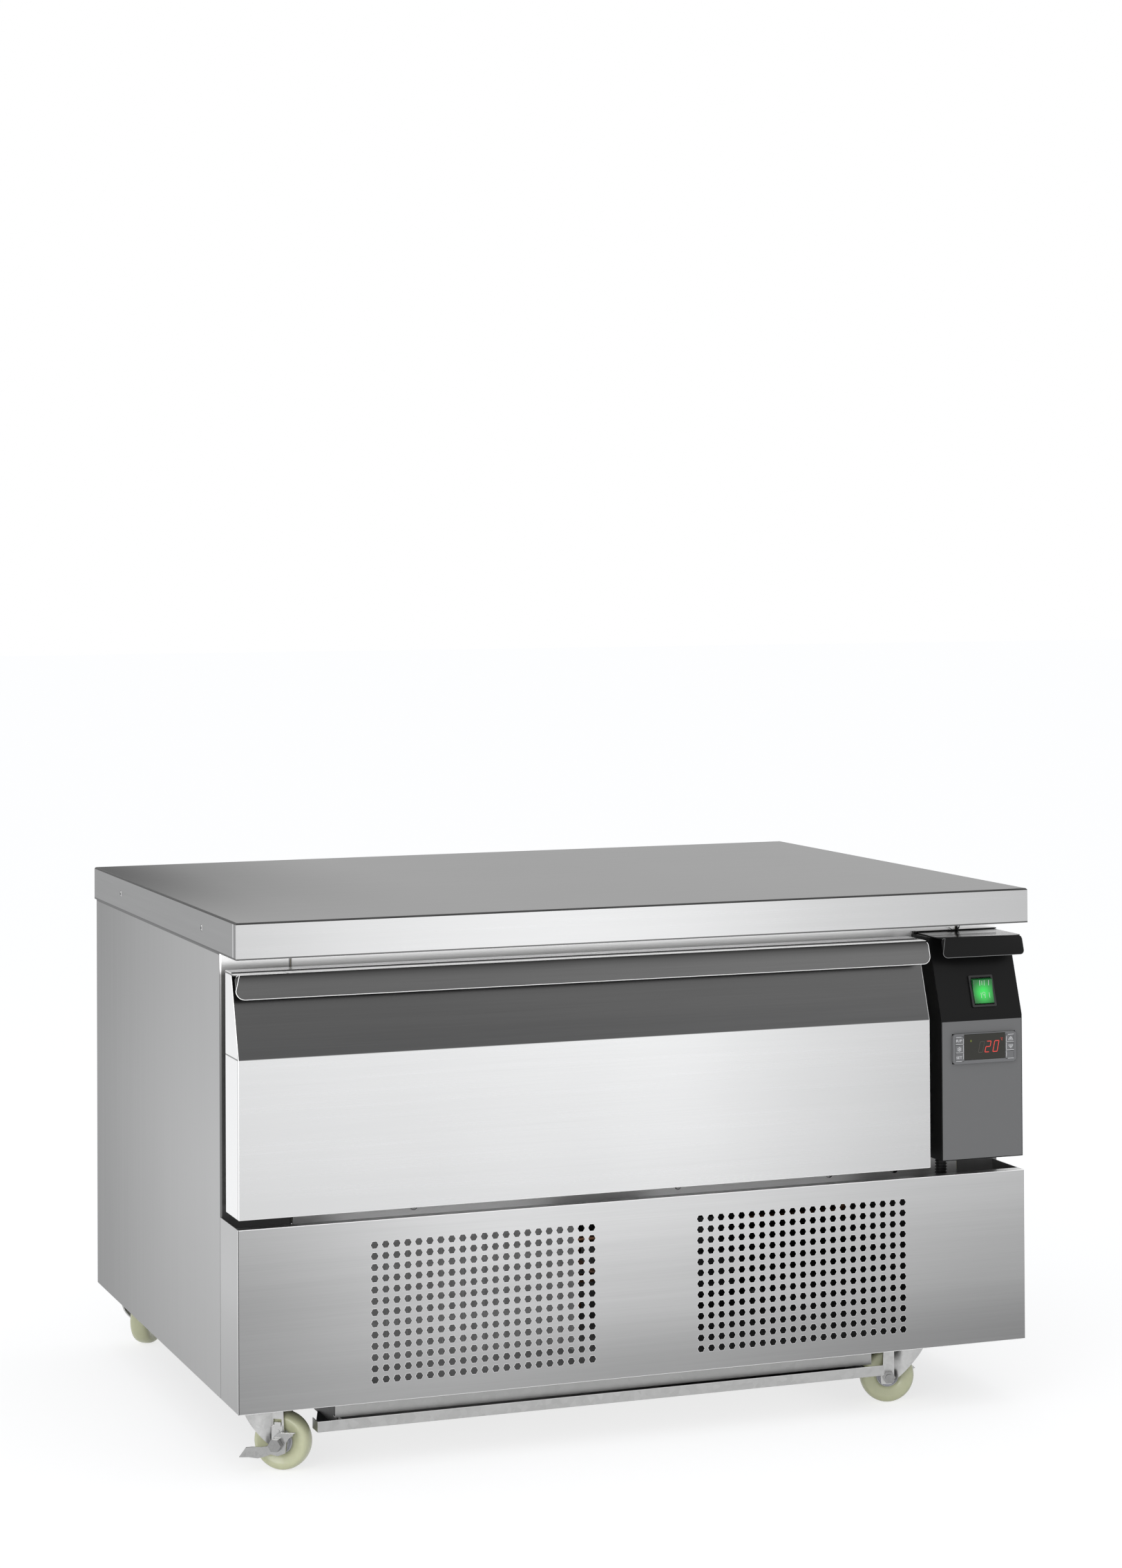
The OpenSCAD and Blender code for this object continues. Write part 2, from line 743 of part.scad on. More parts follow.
module slide_intermediates() {
    color("gainsboro") both_sides() translate([open_x0, 0, slide_z])
        backward(slide_y0, slide_y0 + slide_l - 15) channel(slide_t + fit, slide_w * 0.86, half_middle);
}

module slide_drawer_members() {
    color("silver") both_sides() translate([open_x0 + slide_w, 0, slide_z])
        backward(slide_y0, slide_y0 + slide_l) mirror([1, 0]) channel(0, slide_w * 0.6, half_inner);
}

// Drawer front
frame_back_y = drawer_back_y + inner_frame_t;

module drawer_front_skin() {
    color("silver") difference() {
        across(drawer_x0, drawer_x1) polygon(front_profile(drawer_z0, drawer_back_y, 0));
        across(drawer_x0 + sheet_t, drawer_x1 - sheet_t)
            polygon(front_profile(drawer_z0, drawer_back_y + overcut, sheet_t));
    }
}

module drawer_front_foam() {
    color("khaki") across(drawer_x0 + sheet_t, drawer_x1 - sheet_t)
        polygon(front_profile(drawer_z0, drawer_back_y, sheet_t));
}

// A lip that hooks forward over the slope: a flat top and a front strip with round lower corners
module lip(x0, x1, height, back) {
    strip_z0 = lip_z1 - height;
    difference() {
        union() {
            block([x0, front_y, slope_z1], [x1, back, lip_z1]);
            backward(front_y, front_y + sheet_t) {
                round_rect([x0, strip_z0], [x1, lip_z1], lip_r);
                translate([x0, lip_z1 - lip_r]) square([x1 - x0, lip_r]);
            }
        }
        translate([x0, front_y, lip_z1]) mirror([0, 1, 0]) edge_waste(x1 - x0, sheet_t);
    }
}

module drawer_handle() {
    color("darkgray") lip(drawer_x0 + lip_left_inset, drawer_x1, lip_h, drawer_back_y - 2);
}

module drawer_inner_frame() {
    margin = 3;
    raise = 3;
    color("whitesmoke") difference() {
        block([drawer_x0 + margin, drawer_back_y, drawer_z0 + margin],
            [drawer_x1 - margin, frame_back_y, slope_z1 - margin]);
        block([open_x0 + gasket_w, frame_back_y - raise, liner_z0 + gasket_w],
            [open_x1 - gasket_w, frame_back_y + overcut, liner_z1 - gasket_w]);
    }
}

module drawer_gasket() {
    seat_y = cab_y0 - fit;
    outer = gasket_w + 2;
    bead = gasket_w / 3;
    color("dimgray") backward(frame_back_y, seat_y) difference() {
        round_rect([open_x0 - outer, liner_z0 - outer], [open_x1 + outer, liner_z1 + outer], bead);
        translate([open_x0 - 2, liner_z0 - 2]) square([open_x1 - open_x0 + 4, liner_h + 4]);
    }
}

// Drawer box that two food pans hang in, with a support bar between them
box_x0 = open_x0 + slide_w;
box_x1 = open_x1 - slide_w;
box_z1 = liner_z1 - 22;
box_z0 = box_z1 - box_h;
box_front_y = frame_back_y - 3;
box_back_y = chamber_y1 - 14;
rim_t = 2;

module drawer_box() {
    hole_d = 12;
    hole_pitch = 40;
    holes = floor((box_x1 - box_x0) / hole_pitch) - 2;
    color("gainsboro") difference() {
        block([box_x0, box_front_y, box_z0], [box_x1, box_back_y, box_z1]);
        block([box_x0 + box_t, box_front_y + box_t, box_z0 + box_t],
            [box_x1 - box_t, box_back_y - box_t, box_z1 - rim_t]);
        block([box_x0 + pan_rim_w, box_front_y + pan_rim_w, box_z1 - 2 * rim_t],
            [box_x1 - pan_rim_w, box_back_y - pan_rim_w, box_z1 + overcut]);
        for (i = [0 : holes]) rod_y(box_back_y - 2 * box_t, box_back_y + overcut,
            (box_x0 + box_x1) / 2 + (i - holes / 2) * hole_pitch, box_z0 + box_h / 2, hole_d);
    }
}

module pan_support_bar() {
    mid_x = (box_x0 + box_x1) / 2;
    wall = 1.2;
    drop = 18;
    y0 = box_front_y + pan_rim_w + fit;
    y1 = box_back_y - pan_rim_w - fit;
    color("silver") difference() {
        block([mid_x - pan_bar_w / 2, y0, box_z1 - drop], [mid_x + pan_bar_w / 2, y1, box_z1]);
        block([mid_x - pan_bar_w / 2 + wall, y0 - overcut, box_z1 - drop - overcut],
            [mid_x + pan_bar_w / 2 - wall, y1 + overcut, box_z1 - wall]);
    }
}

// Control column
control_x1 = right_x - control_right_inset;
control_x0 = control_x1 - control_w;
control_z0 = drawer_z0 + control_lift;
control_mid_x = (control_x0 + control_x1) / 2;
bezel_x0 = control_mid_x + 2 - bezel_w / 2;
bezel_z0 = control_z0 + bezel_lift;
bezel_y0 = front_y - bezel_t;
bezel_mid_x = bezel_x0 + bezel_w / 2;
switch_mid_x = control_mid_x + 5;
overlay_t = 0.4;

// Places children on the slope: their z points out of it and their y up along it
module on_slope(x, rise_along) {
    z = crease_z + rise_along * cos(slope_angle);
    translate([x, slope_y(z), z]) rotate([90 - slope_angle, 0, 0]) children();
}

switch_body_w = switch_w - 3;
switch_body_l = switch_l - 3;
controller_body_w = bezel_w - 6.5;
controller_body_h = bezel_h - 4;

module control_box() {
    body_x = bezel_mid_x - controller_body_w / 2 - fit;
    body_z = bezel_z0 + bezel_h / 2 - controller_body_h / 2 - fit;
    color("#262626") {
        difference() {
            across(control_x0, control_x1) polygon(front_profile(control_z0, cab_y0, 0));
            across(control_x0 + sheet_t, control_x1 - sheet_t)
                polygon(front_profile(control_z0, cab_y0 + overcut, sheet_t));
            block([body_x, front_y - overcut, body_z],
                [body_x + controller_body_w + 2 * fit, front_y + 2 * sheet_t,
                body_z + controller_body_h + 2 * fit]);
            on_slope(switch_mid_x, switch_rise)
                translate([-switch_body_w / 2 - fit, -switch_body_l / 2 - fit, -2 * sheet_t])
                cube([switch_body_w + 2 * fit, switch_body_l + 2 * fit, 4 * sheet_t]);
            rod_z(control_z0 - overcut, control_z0 + 2 * sheet_t, sleeve_x, sleeve_y, sleeve_d + 2 * fit);
        }
        lip(control_x0 + control_lip_shift, control_x1 + control_lip_shift, control_lip_h, cab_y0);
    }
}

module control_overlay() {
    overlay_top = crease_z - 4;
    color("#6e6e6e") difference() {
        block([control_x0 + 1, front_y - overlay_t, control_z0 + 1], [control_x1 - 1, front_y, overlay_top]);
        block([bezel_x0, front_y - overcut, bezel_z0],
            [bezel_x0 + bezel_w, front_y + overcut, bezel_z0 + bezel_h]);
    }
}

// Controller: bezel with pockets for the window and the keys, and the housing behind the panel
window_x0 = bezel_mid_x - window_w / 2;
window_z0 = bezel_z0 + bezel_h - window_h - 1;
key_z0 = bezel_z0 + (bezel_h - 2 * key_pitch - key_h) / 2;
key_gap = 0.2;
key_pocket = 2.4;
key_t = 2.1;
key_proud = 0.2;
window_t = 1.6;

function key_x0(side) = bezel_mid_x + side * (window_w / 2 + 1 + key_w / 2) - key_w / 2;

module controller() {
    pocket_h = 2 * key_pitch + key_h + 2 * key_gap;
    color("#777777") difference() {
        union() {
            backward(bezel_y0, front_y)
                round_rect([bezel_x0, bezel_z0], [bezel_x0 + bezel_w, bezel_z0 + bezel_h], 4);
            block([bezel_mid_x - controller_body_w / 2, front_y,
                bezel_z0 + (bezel_h - controller_body_h) / 2],
                [bezel_mid_x + controller_body_w / 2, cab_y0 - 8,
                bezel_z0 + (bezel_h + controller_body_h) / 2]);
        }
        block([window_x0 - key_gap, bezel_y0 - overcut, window_z0 - key_gap],
            [window_x0 + window_w + key_gap, bezel_y0 + window_t, window_z0 + window_h + key_gap]);
        for (side = [-1, 1]) block([key_x0(side) - key_gap, bezel_y0 - overcut, key_z0 - key_gap],
            [key_x0(side) + key_w + key_gap, bezel_y0 + key_pocket, key_z0 - key_gap + pocket_h]);
    }
}

module display_window() {
    color("#3a3a32") block([window_x0, bezel_y0 + 0.2, window_z0],
        [window_x0 + window_w, bezel_y0 + window_t, window_z0 + window_h]);
}

// A key of the left (-1) or right (1) column, counted from the bottom
module key(side, row) {
    z = key_z0 + row * key_pitch;
    y = bezel_y0 - key_proud;
    color("#777777") block([key_x0(side), y, z], [key_x0(side) + key_w, y + key_t, z + key_h]);
}

// Rocker switch: a housing with a raised frame, and a rocker on two stub axles
pivot_depth = 3;
rocker_tilt = 7;
stub_d = 3;

module switch_frame() {
    color("#1c1c1c") on_slope(switch_mid_x, switch_rise) difference() {
        union() {
            rise(0, 2.2) round_rect([-switch_w / 2, -switch_l / 2], [switch_w / 2, switch_l / 2], 1.5);
            translate([-switch_body_w / 2, -switch_body_l / 2, -24])
                cube([switch_body_w, switch_body_l, 24]);
        }
        translate([-rocker_w / 2 - fit, -rocker_r - fit, -20])
            cube([rocker_w + 2 * fit, 2 * (rocker_r + fit), 30]);
        rod_x(-rocker_w / 2 - 1 - fit, rocker_w / 2 + 1 + fit, 0, -pivot_depth, stub_d + 2 * running_fit);
    }
}

module switch_rocker() {
    top_rise = 3.6;
    color("#1fae3a") on_slope(switch_mid_x, switch_rise)
        translate([0, 0, -pivot_depth]) rotate([rocker_tilt, 0, 0]) {
            intersection() {
                rod_x(-rocker_w / 2, rocker_w / 2, 0, 0, 2 * rocker_r);
                across(-rocker_w / 2, rocker_w / 2) polygon([
                    [-rocker_r, -6], [rocker_r, -6], [rocker_r, pivot_depth + top_rise + 1.8],
                    [0, pivot_depth + top_rise], [-rocker_r, pivot_depth + top_rise + 1.8]
                ]);
            }
            rod_x(-rocker_w / 2 - 1, rocker_w / 2 + 1, 0, 0, stub_d);
        }
}

// Wiring sleeve from the control box down to the base
sleeve_x = control_x0 + 22;
sleeve_y = cab_y0 - 26;

module wiring_sleeve() {
    ribs = 9;
    ring_pitch = (control_z0 - base_z1) / (ribs + 1);
    color("#1c1c1c") {
        rod_z(base_z1, control_z0 + 6, sleeve_x, sleeve_y, sleeve_d);
        for (i = [1 : ribs]) rod_z(base_z1 + i * ring_pitch - 2, base_z1 + i * ring_pitch + 2,
            sleeve_x, sleeve_y, sleeve_d + 2);
    }
}

// Refrigeration: compressor on rubber feet
compressor_y = -50;
riser_y = compressor_y;
foot_spread_x = 80;
foot_spread_y = 45;
foot_h = 10;
seat_t = 3;

module compressor() {
    seat_z = base_z1 + foot_h;
    shell_z = seat_z + seat_t;
    dome = compressor_h * 0.28;
    dome_r = (compressor_r * compressor_r + dome * dome) / (2 * dome);
    color("#2b2b2b") translate([compressor_x, compressor_y, 0]) {
        rise(seat_z, shell_z)
            round_rect([-foot_spread_x, -foot_spread_y], [foot_spread_x, foot_spread_y], 10);
        rod_z(shell_z, shell_z + compressor_h - dome, 0, 0, 2 * compressor_r);
        rod_z(shell_z + 38, shell_z + 42, 0, 0, 2 * compressor_r + 5);
        translate([0, 0, shell_z + compressor_h - dome_r]) intersection() {
            sphere(dome_r);
            translate([0, 0, dome_r - dome]) cylinder(r = compressor_r, h = dome);
        }
        block([-22, -compressor_r - 14, shell_z + 12], [22, -compressor_r + 14, shell_z + 52]);
        for (x = [-1, 1], y = [-1, 1])
            rod_z(base_z1, seat_z, x * (foot_spread_x - 12), y * (foot_spread_y - 12), 18);
    }
}

// Condenser behind the left holes: fins on two rows of tubes between end plates
condenser_x1 = hex_left_x + condenser_w / 2;
condenser_x0 = condenser_x1 - condenser_w;
condenser_y0 = cab_y0 + 8;
condenser_y1 = condenser_y0 + condenser_d;
condenser_z0 = base_z1;
tube_d = 9;
tube_rows = 5;
fin_lift = 4;
fin_top_gap = 2;
tube_end = 4;
tube_row_share = 0.27;

// A finned block: fins and end plates along X, and two rows of tubes through them
module finned_block(x0, x1, y0, y1, z0, z1, fins, rows) {
    fin_t = 0.6;
    end_t = 1.5;
    pitch = (x1 - x0 - end_t) / (fins + 1);
    for (i = [1 : fins]) block([x0 + i * pitch, y0, z0 + fin_lift],
        [x0 + i * pitch + fin_t, y1, z1 - fin_top_gap]);
    for (x = [x0, x1 - end_t]) block([x, y0, z0], [x + end_t, y1, z1]);
    for (j = [0 : rows - 1], share = [tube_row_share, 1 - tube_row_share])
        rod_x(x0 - tube_end, x1 + tube_end, y0 + (y1 - y0) * share,
            z0 + (j + 0.5) * (z1 - z0) / rows, tube_d);
}

module condenser_coil() {
    color("darkgray") finned_block(condenser_x0, condenser_x1, condenser_y0, condenser_y1,
        condenser_z0, condenser_z0 + condenser_h, condenser_fins, tube_rows);
}

// Fans: a hub with pitched blades about the X axis of their own frame
module fan_blades(r, hub_d, depth, blades) {
    pitch_angle = 32;
    rod_x(0, depth, 0, 0, hub_d);
    for (i = [0 : blades - 1]) rotate([i * 360 / blades, 0, 0]) intersection() {
        rod_x(1, depth - 1, 0, 0, 2 * r);
        translate([depth / 2, 0, hub_d / 2 - 2]) rotate([0, 0, pitch_angle])
            translate([-depth, -1, 0]) cube([2 * depth, 2, r]);
    }
}

fan_x = hex_left_x;
fan_z = base_z1 + machine_h / 2 - 4;
shroud_y = condenser_y1 + 0.2;
shroud_t = 1.5;
blade_depth = 24;
blade_y = shroud_y + shroud_t + 2;
motor_y = blade_y + blade_depth + fit;
hub_d = 34;

module condenser_fan_mount() {
    ring_t = 3;
    motor_d = 62;
    motor_l = 46;
    shaft_d = 6;
    color("gray") {
        difference() {
            union() {
                block([condenser_x0, shroud_y, base_z1],
                    [condenser_x1, shroud_y + shroud_t, base_z1 + condenser_h]);
                rod_y(shroud_y, shroud_y + blade_depth / 2, fan_x, fan_z, fan_d + 2 * ring_t);
            }
            rod_y(shroud_y - overcut, shroud_y + blade_depth, fan_x, fan_z, fan_d);
        }
        rod_y(motor_y, motor_y + motor_l, fan_x, fan_z, motor_d);
        block([fan_x - 12, motor_y + 8, base_z1], [fan_x + 12, motor_y + 12, fan_z]);
        block([fan_x - 30, motor_y - 4, base_z1], [fan_x + 30, motor_y + 40, base_z1 + 2]);
        rod_y(blade_y + 2, motor_y, fan_x, fan_z, shaft_d);
    }
}

// The blade wheel slides over the motor's shaft
module bored_fan(r, hub, depth, blades) {
    difference() {
        fan_blades(r, hub, depth, blades);
        rod_x(2 - running_fit, depth + overcut, 0, 0, 6 + 2 * running_fit);
    }
}

module condenser_fan_blade() {
    color("#3a3a3a") translate([fan_x, blade_y, fan_z]) rotate([0, 0, 90])
        bored_fan(fan_d / 2 - 4, hub_d, blade_depth, 5);
}

// Evaporator in its chamber beside the drawer, behind a slotted baffle
baffle_x = open_x1 + 7;
baffle_t = 1.2;
evap_x0 = baffle_x + baffle_t + 10;
evap_x1 = chamber_x1 - 8;
evap_y0 = chamber_y0 + 16;
evap_y1 = evap_y0 + evap_l;
evap_z0 = liner_z0;
evap_top_gap = 40;
evap_z1 = liner_z1 - evap_top_gap;
evap_fan_gap = 30;
evap_fan_y = evap_y1 + evap_fan_gap + evap_fan_d / 2;
evap_fan_z = liner_z0 + liner_h / 2;
evap_blade_depth = 20;
evap_motor_x = baffle_x + baffle_t + 3 + evap_blade_depth + fit;

module evaporator_coil() {
    color("darkgray") rotate([0, 0, 90])
        finned_block(evap_y0, evap_y1, -evap_x1, -evap_x0, evap_z0, evap_z1, evap_fins, 4);
}

module evaporator_baffle() {
    slots = 10;
    vent_w = 8;
    vent_pitch = 18;
    vent_margin = 10;
    vent_low = 40;
    vent_high = 50;
    motor_d = 50;
    motor_l = 34;
    arm = 5;
    color("gainsboro") {
        difference() {
            block([baffle_x, chamber_y0 + 3, liner_z0], [baffle_x + baffle_t, chamber_y1 - 3, liner_z1]);
            rod_x(baffle_x - overcut, baffle_x + 2 * baffle_t, evap_fan_y, evap_fan_z, evap_fan_d);
            for (i = [0 : slots - 1])
                block([baffle_x - overcut, evap_y0 + vent_margin + i * vent_pitch, liner_z0 + vent_low],
                    [baffle_x + 2 * baffle_t, evap_y0 + vent_margin + i * vent_pitch + vent_w,
                    liner_z1 - vent_high]);
        }
        rod_x(evap_motor_x, evap_motor_x + motor_l, evap_fan_y, evap_fan_z, motor_d);
        rod_x(baffle_x + baffle_t + 5, evap_motor_x, evap_fan_y, evap_fan_z, 6);
        for (side = [-1, 1]) {
            y = evap_fan_y + side * (evap_fan_d / 2 + 4);
            block([baffle_x + baffle_t, y - arm / 2, evap_fan_z - arm],
                [evap_motor_x + 6, y + arm / 2, evap_fan_z + arm]);
        }
        block([evap_motor_x + 2, evap_fan_y - evap_fan_d / 2 - 4, evap_fan_z - arm],
            [evap_motor_x + 6, evap_fan_y + evap_fan_d / 2 + 4, evap_fan_z + arm]);
    }
}

module evaporator_fan_blade() {
    color("#3a3a3a") translate([baffle_x + baffle_t + 3, evap_fan_y, evap_fan_z])
        bored_fan(evap_fan_d / 2 - 4, 28, evap_blade_depth, 5);
}

// A quarter bend in the plane z = 0, centred on the origin, from +X round to +Y
module elbow() {
    rotate_extrude(angle = 90) translate([pipe_bend, 0]) circle(d = pipe_d);
}

// Discharge pipe to the condenser, and suction pipe up through the insulated floor
module refrigerant_pipes() {
    pipe_z = condenser_z0 + (tube_rows - 2.5) * condenser_h / tube_rows;
    into_y = condenser_y0 + condenser_d * tube_row_share;
    turn_x = condenser_x1 + tube_end + 2 * pipe_bend;
    shell_x0 = compressor_x - compressor_r;
    shell_x1 = compressor_x + compressor_r;
    low_z = base_z1 + foot_h + seat_t + 70;
    color("peru") {
        rod_x(turn_x + pipe_bend, shell_x0, compressor_y, pipe_z, pipe_d);
        translate([turn_x + pipe_bend, compressor_y - pipe_bend, pipe_z]) rotate([0, 0, 90]) elbow();
        rod_y(into_y + pipe_bend, compressor_y - pipe_bend, turn_x, pipe_z, pipe_d);
        translate([turn_x - pipe_bend, into_y + pipe_bend, pipe_z]) rotate([0, 0, -90]) elbow();
        rod_x(condenser_x1 + tube_end, turn_x - pipe_bend, into_y, pipe_z, pipe_d);
        rod_x(shell_x1, riser_x - pipe_bend, riser_y, low_z, pipe_d);
        translate([riser_x - pipe_bend, riser_y, low_z + pipe_bend]) rotate([-90, 0, 0]) elbow();
        rod_z(low_z + pipe_bend, evap_z0 + fin_lift, riser_x, riser_y, pipe_d);
    }
}

// Casters. Each is drawn about its swivel axis, with the wheel trailing along +X and the brake at -Y
angle_fl = -36;
angle_fr = 164;
angle_rl = 51.6;
angle_rr = 70;
axle_z = wheel_d / 2;
race_h = 4;
race_d = 46;
disk_t = 3;
rivet_t = 2;
rivet_d = 16;
plate_z0 = caster_h - caster_plate_t;
race_z0 = plate_z0 - race_h;
disk_z1 = race_z0 - fit;
disk_z0 = disk_z1 - disk_t;
fork_in = wheel_w / 2 + 1;
fork_out = fork_in + fork_t;
hub_half = fork_in - fit;
lever_t = 2;
lever_in = fork_out + 4;
lever_out = lever_in + lever_t;
lever_lift = 15;
tab_out = 3;
spring_out = fork_out + 1.2;
window_low = 18.5;
window_up = 6;

module caster_plates() {
    head_t = 4;
    color("silver") at_casters() {
        rise(plate_z0, caster_h) difference() {
            round_rect([-caster_plate / 2, -caster_plate / 2], [caster_plate / 2, caster_plate / 2], 5);
            for (x = [-bolt_spread, bolt_spread], y = [-bolt_spread, bolt_spread])
                translate([x, y]) circle(d = caster_bolt_d + fit);
        }
        rod_z(race_z0, plate_z0, 0, 0, race_d);
        rod_z(disk_z0 - fit - rivet_t, race_z0, 0, 0, pin_d);
        rod_z(disk_z0 - fit - rivet_t, disk_z0 - fit, 0, 0, rivet_d);
        for (x = [-bolt_spread, bolt_spread], y = [-bolt_spread, bolt_spread]) {
            rod_z(plate_z0, base_z1, x, y, caster_bolt_d);
            translate([x, y, plate_z0 - head_t]) cylinder(d = caster_bolt_d * 1.8, h = head_t, $fn = 6);
        }
    }
}

// The fork's side view: straight behind the axle, slanted from the axle up to the round front
module fork_side() {
    foot = 8;
    polygon([
        [-fork_r - overcut, disk_z1], [-fork_r - overcut, disk_z1 - 9], [trail - 3, axle_z - foot],
        [trail + foot, axle_z - foot], [trail + 9, axle_z + 3], [trail + 6, axle_z + 14],
        [trail + 5, disk_z1]
    ]);
}

module fork_plan(half, r) {
    circle(r = r);
    translate([0, -half]) square([2 * trail, 2 * half]);
}

// A hexagonal head along Y, from y0 to y1
module hex_head(y0, y1, d) {
    translate([trail, y1, axle_z]) rotate([90, 0, 0]) cylinder(d = d, h = y1 - y0, $fn = 6);
}

// The spring plate that catches the brake lever, hooked through a window in the fork's leg
module brake_spring() {
    plate_x = [trail - 7, trail + 5];
    hook_x = [trail - 4, trail + 3];
    hook_z = axle_z + window_low + 3;
    block([plate_x[0], -spring_out, axle_z + 4], [plate_x[1], -fork_out, axle_z + window_low - 1]);
    block([hook_x[0], -spring_out, axle_z + window_low - 1], [hook_x[1], -fork_out, hook_z]);
    rod_y(-spring_out - 1, -spring_out, trail, axle_z + 13, 3.2);
}

module fork(angle, braked) {
    nut_t = 5;
    head_t = 6.5;
    head_y = braked ? lever_out + fit : fork_out;
    color("silver") rotate([0, 0, angle]) {
        difference() {
            union() {
                intersection() {
                    rise(0, disk_z1) difference() {
                        fork_plan(fork_out, fork_r);
                        fork_plan(fork_in, fork_r - fork_t);
                    }
                    translate([0, fork_r + overcut, 0]) rotate([90, 0, 0])
                        linear_extrude(2 * (fork_r + overcut)) fork_side();
                }
                rod_z(disk_z0, disk_z1, 0, 0, 2 * fork_r);
            }
            rod_z(disk_z0 - overcut, disk_z1 + overcut, 0, 0, pin_d + 2 * running_fit);
            if (braked) block([trail - 5.5, -fork_out - overcut, axle_z + window_low],
                [trail + 3.5, -fork_in + overcut, axle_z + window_low + window_up]);
        }
        if (braked) {
            brake_spring();
            rod_y(-lever_in + fit, -fork_out, trail, axle_z, axle_d + 5);
        }
        rod_y(-head_y, fork_out + nut_t + 1.5, trail, axle_z, axle_d);
        hex_head(-head_y - head_t, -head_y, axle_d * 1.75);
        hex_head(fork_out, fork_out + nut_t, axle_d * 1.75);
    }
}

module wheel_section() {
    tread = 7.5;
    recess = 3;
    corner = 4;
    bore_r = axle_d / 2 + running_fit;
    r = wheel_d / 2;
    difference() {
        union() {
            translate([bore_r, -hub_half]) square([5, 2 * hub_half]);
            translate([bore_r, -wheel_w / 2 + recess]) square([r - tread, wheel_w - 2 * recess]);
            translate([r - tread - 1, -wheel_w / 2]) square([tread + 1 - corner, wheel_w]);
            translate([r - corner, -wheel_w / 2 + corner]) square([corner, wheel_w - 2 * corner]);
            for (y = [-1, 1]) translate([r - corner, y * (wheel_w / 2 - corner)]) circle(corner);
        }
        translate([r, -wheel_w]) square([r, 2 * wheel_w]);
    }
}

module wheel(angle) {
    color("#dcdcb4") rotate([0, 0, angle]) translate([trail, 0, axle_z])
        rotate([90, 0, 0]) rotate_extrude($fn = 64) wheel_section();
}

// Side brake: a flat lever about the axle with a release tab, and a pedal bent outward ahead of it
module brake_lever(angle, lift) {
    fold = 6;
    pedal_bend = 25;
    pedal_t = 1.6;
    root = 0.6;
    tab = [[5, 12], [20.9, 13.1]];
    plate = [
        [-fold, -1], [-5, 5], [-2, 9], [3, 12], [5, 12.4], tab[1], [16.5, 9.3], [13, 6], [10.8, 2.6],
        [9.6, -8.5], [1.4, -11.9], [-fold, -10.5]
    ];
    pedal = [
        [root, -1.4], [-9.6, -2.5], [-18.8, -2], [-25.8, -2.2], [-32.9, -11.8], [-23, -12.2],
        [-13.8, -13.9], [-6.8, -12.6], [root, -10]
    ];
    color("silver") rotate([0, 0, angle]) translate([trail, 0, axle_z]) rotate([0, lift, 0]) {
        difference() {
            union() {
                backward(-lever_out, -lever_in) polygon(plate);
                translate([-fold, -lever_in - lever_t / 2, 0]) rotate([0, 0, pedal_bend])
                    backward(-pedal_t / 2, pedal_t / 2) polygon(pedal);
                block([tab[0].x, -lever_out - tab_out, tab[0].y - lever_t],
                    [tab[1].x - 2, -lever_in, tab[0].y]);
            }
            rod_y(-lever_out - overcut, -lever_in + overcut, 0, 0, axle_d + 2 * running_fit);
        }
    }
}

worktop();
worktop_core();
screws();
left_side_panel();
right_side_panel();
front_frame();
rear_panel();
rear_grille();
cable_gland();
foam_insulation();
inner_liner();
partition_plate();
base_plate();
drain_pipe();
lower_front_panel();
lower_panel_frame();
tray_runners();
condensate_tray();
slide_cabinet_members();
slide_intermediates();
slide_drawer_members();
drawer_front_skin();
drawer_handle();
drawer_front_foam();
drawer_inner_frame();
drawer_gasket();
drawer_box();
pan_support_bar();
control_box();
control_overlay();
controller();
display_window();
key(-1, 2);  // key_left_top
key(-1, 1);  // key_left_middle
key(-1, 0);  // key_left_bottom
key(1, 2);  // key_right_top
key(1, 1);  // key_right_middle
key(1, 0);  // key_right_bottom
switch_frame();
switch_rocker();
wiring_sleeve();
compressor();
condenser_coil();
condenser_fan_mount();
condenser_fan_blade();
refrigerant_pipes();
evaporator_coil();
evaporator_baffle();
evaporator_fan_blade();
caster_plates();
at_caster(0, 0) fork(angle_fl, true);  // caster_fork_fl
at_caster(1, 0) fork(angle_fr, true);  // caster_fork_fr
at_caster(0, 1) fork(angle_rl, false);  // caster_fork_rl
at_caster(1, 1) fork(angle_rr, false);  // caster_fork_rr
at_caster(0, 0) wheel(angle_fl);  // caster_wheel_fl
at_caster(1, 0) wheel(angle_fr);  // caster_wheel_fr
at_caster(0, 1) wheel(angle_rl);  // caster_wheel_rl
at_caster(1, 1) wheel(angle_rr);  // caster_wheel_rr
at_caster(0, 0) brake_lever(angle_fl, 0);  // brake_lever_fl
at_caster(1, 0) brake_lever(angle_fr, lever_lift);  // brake_lever_fr
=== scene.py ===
"""Looks of the refrigerated drawer unit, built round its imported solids.

All lengths are in metres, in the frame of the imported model: the origin lies on the floor under the
middle of the unit, +X is to its right seen from the front, +Y to its back and +Z up.
"""

import enum
import json
import logging
import math
from dataclasses import dataclass
from typing import Callable, Optional, Sequence, Union

import bmesh
import bpy
from mathutils import Matrix, Vector

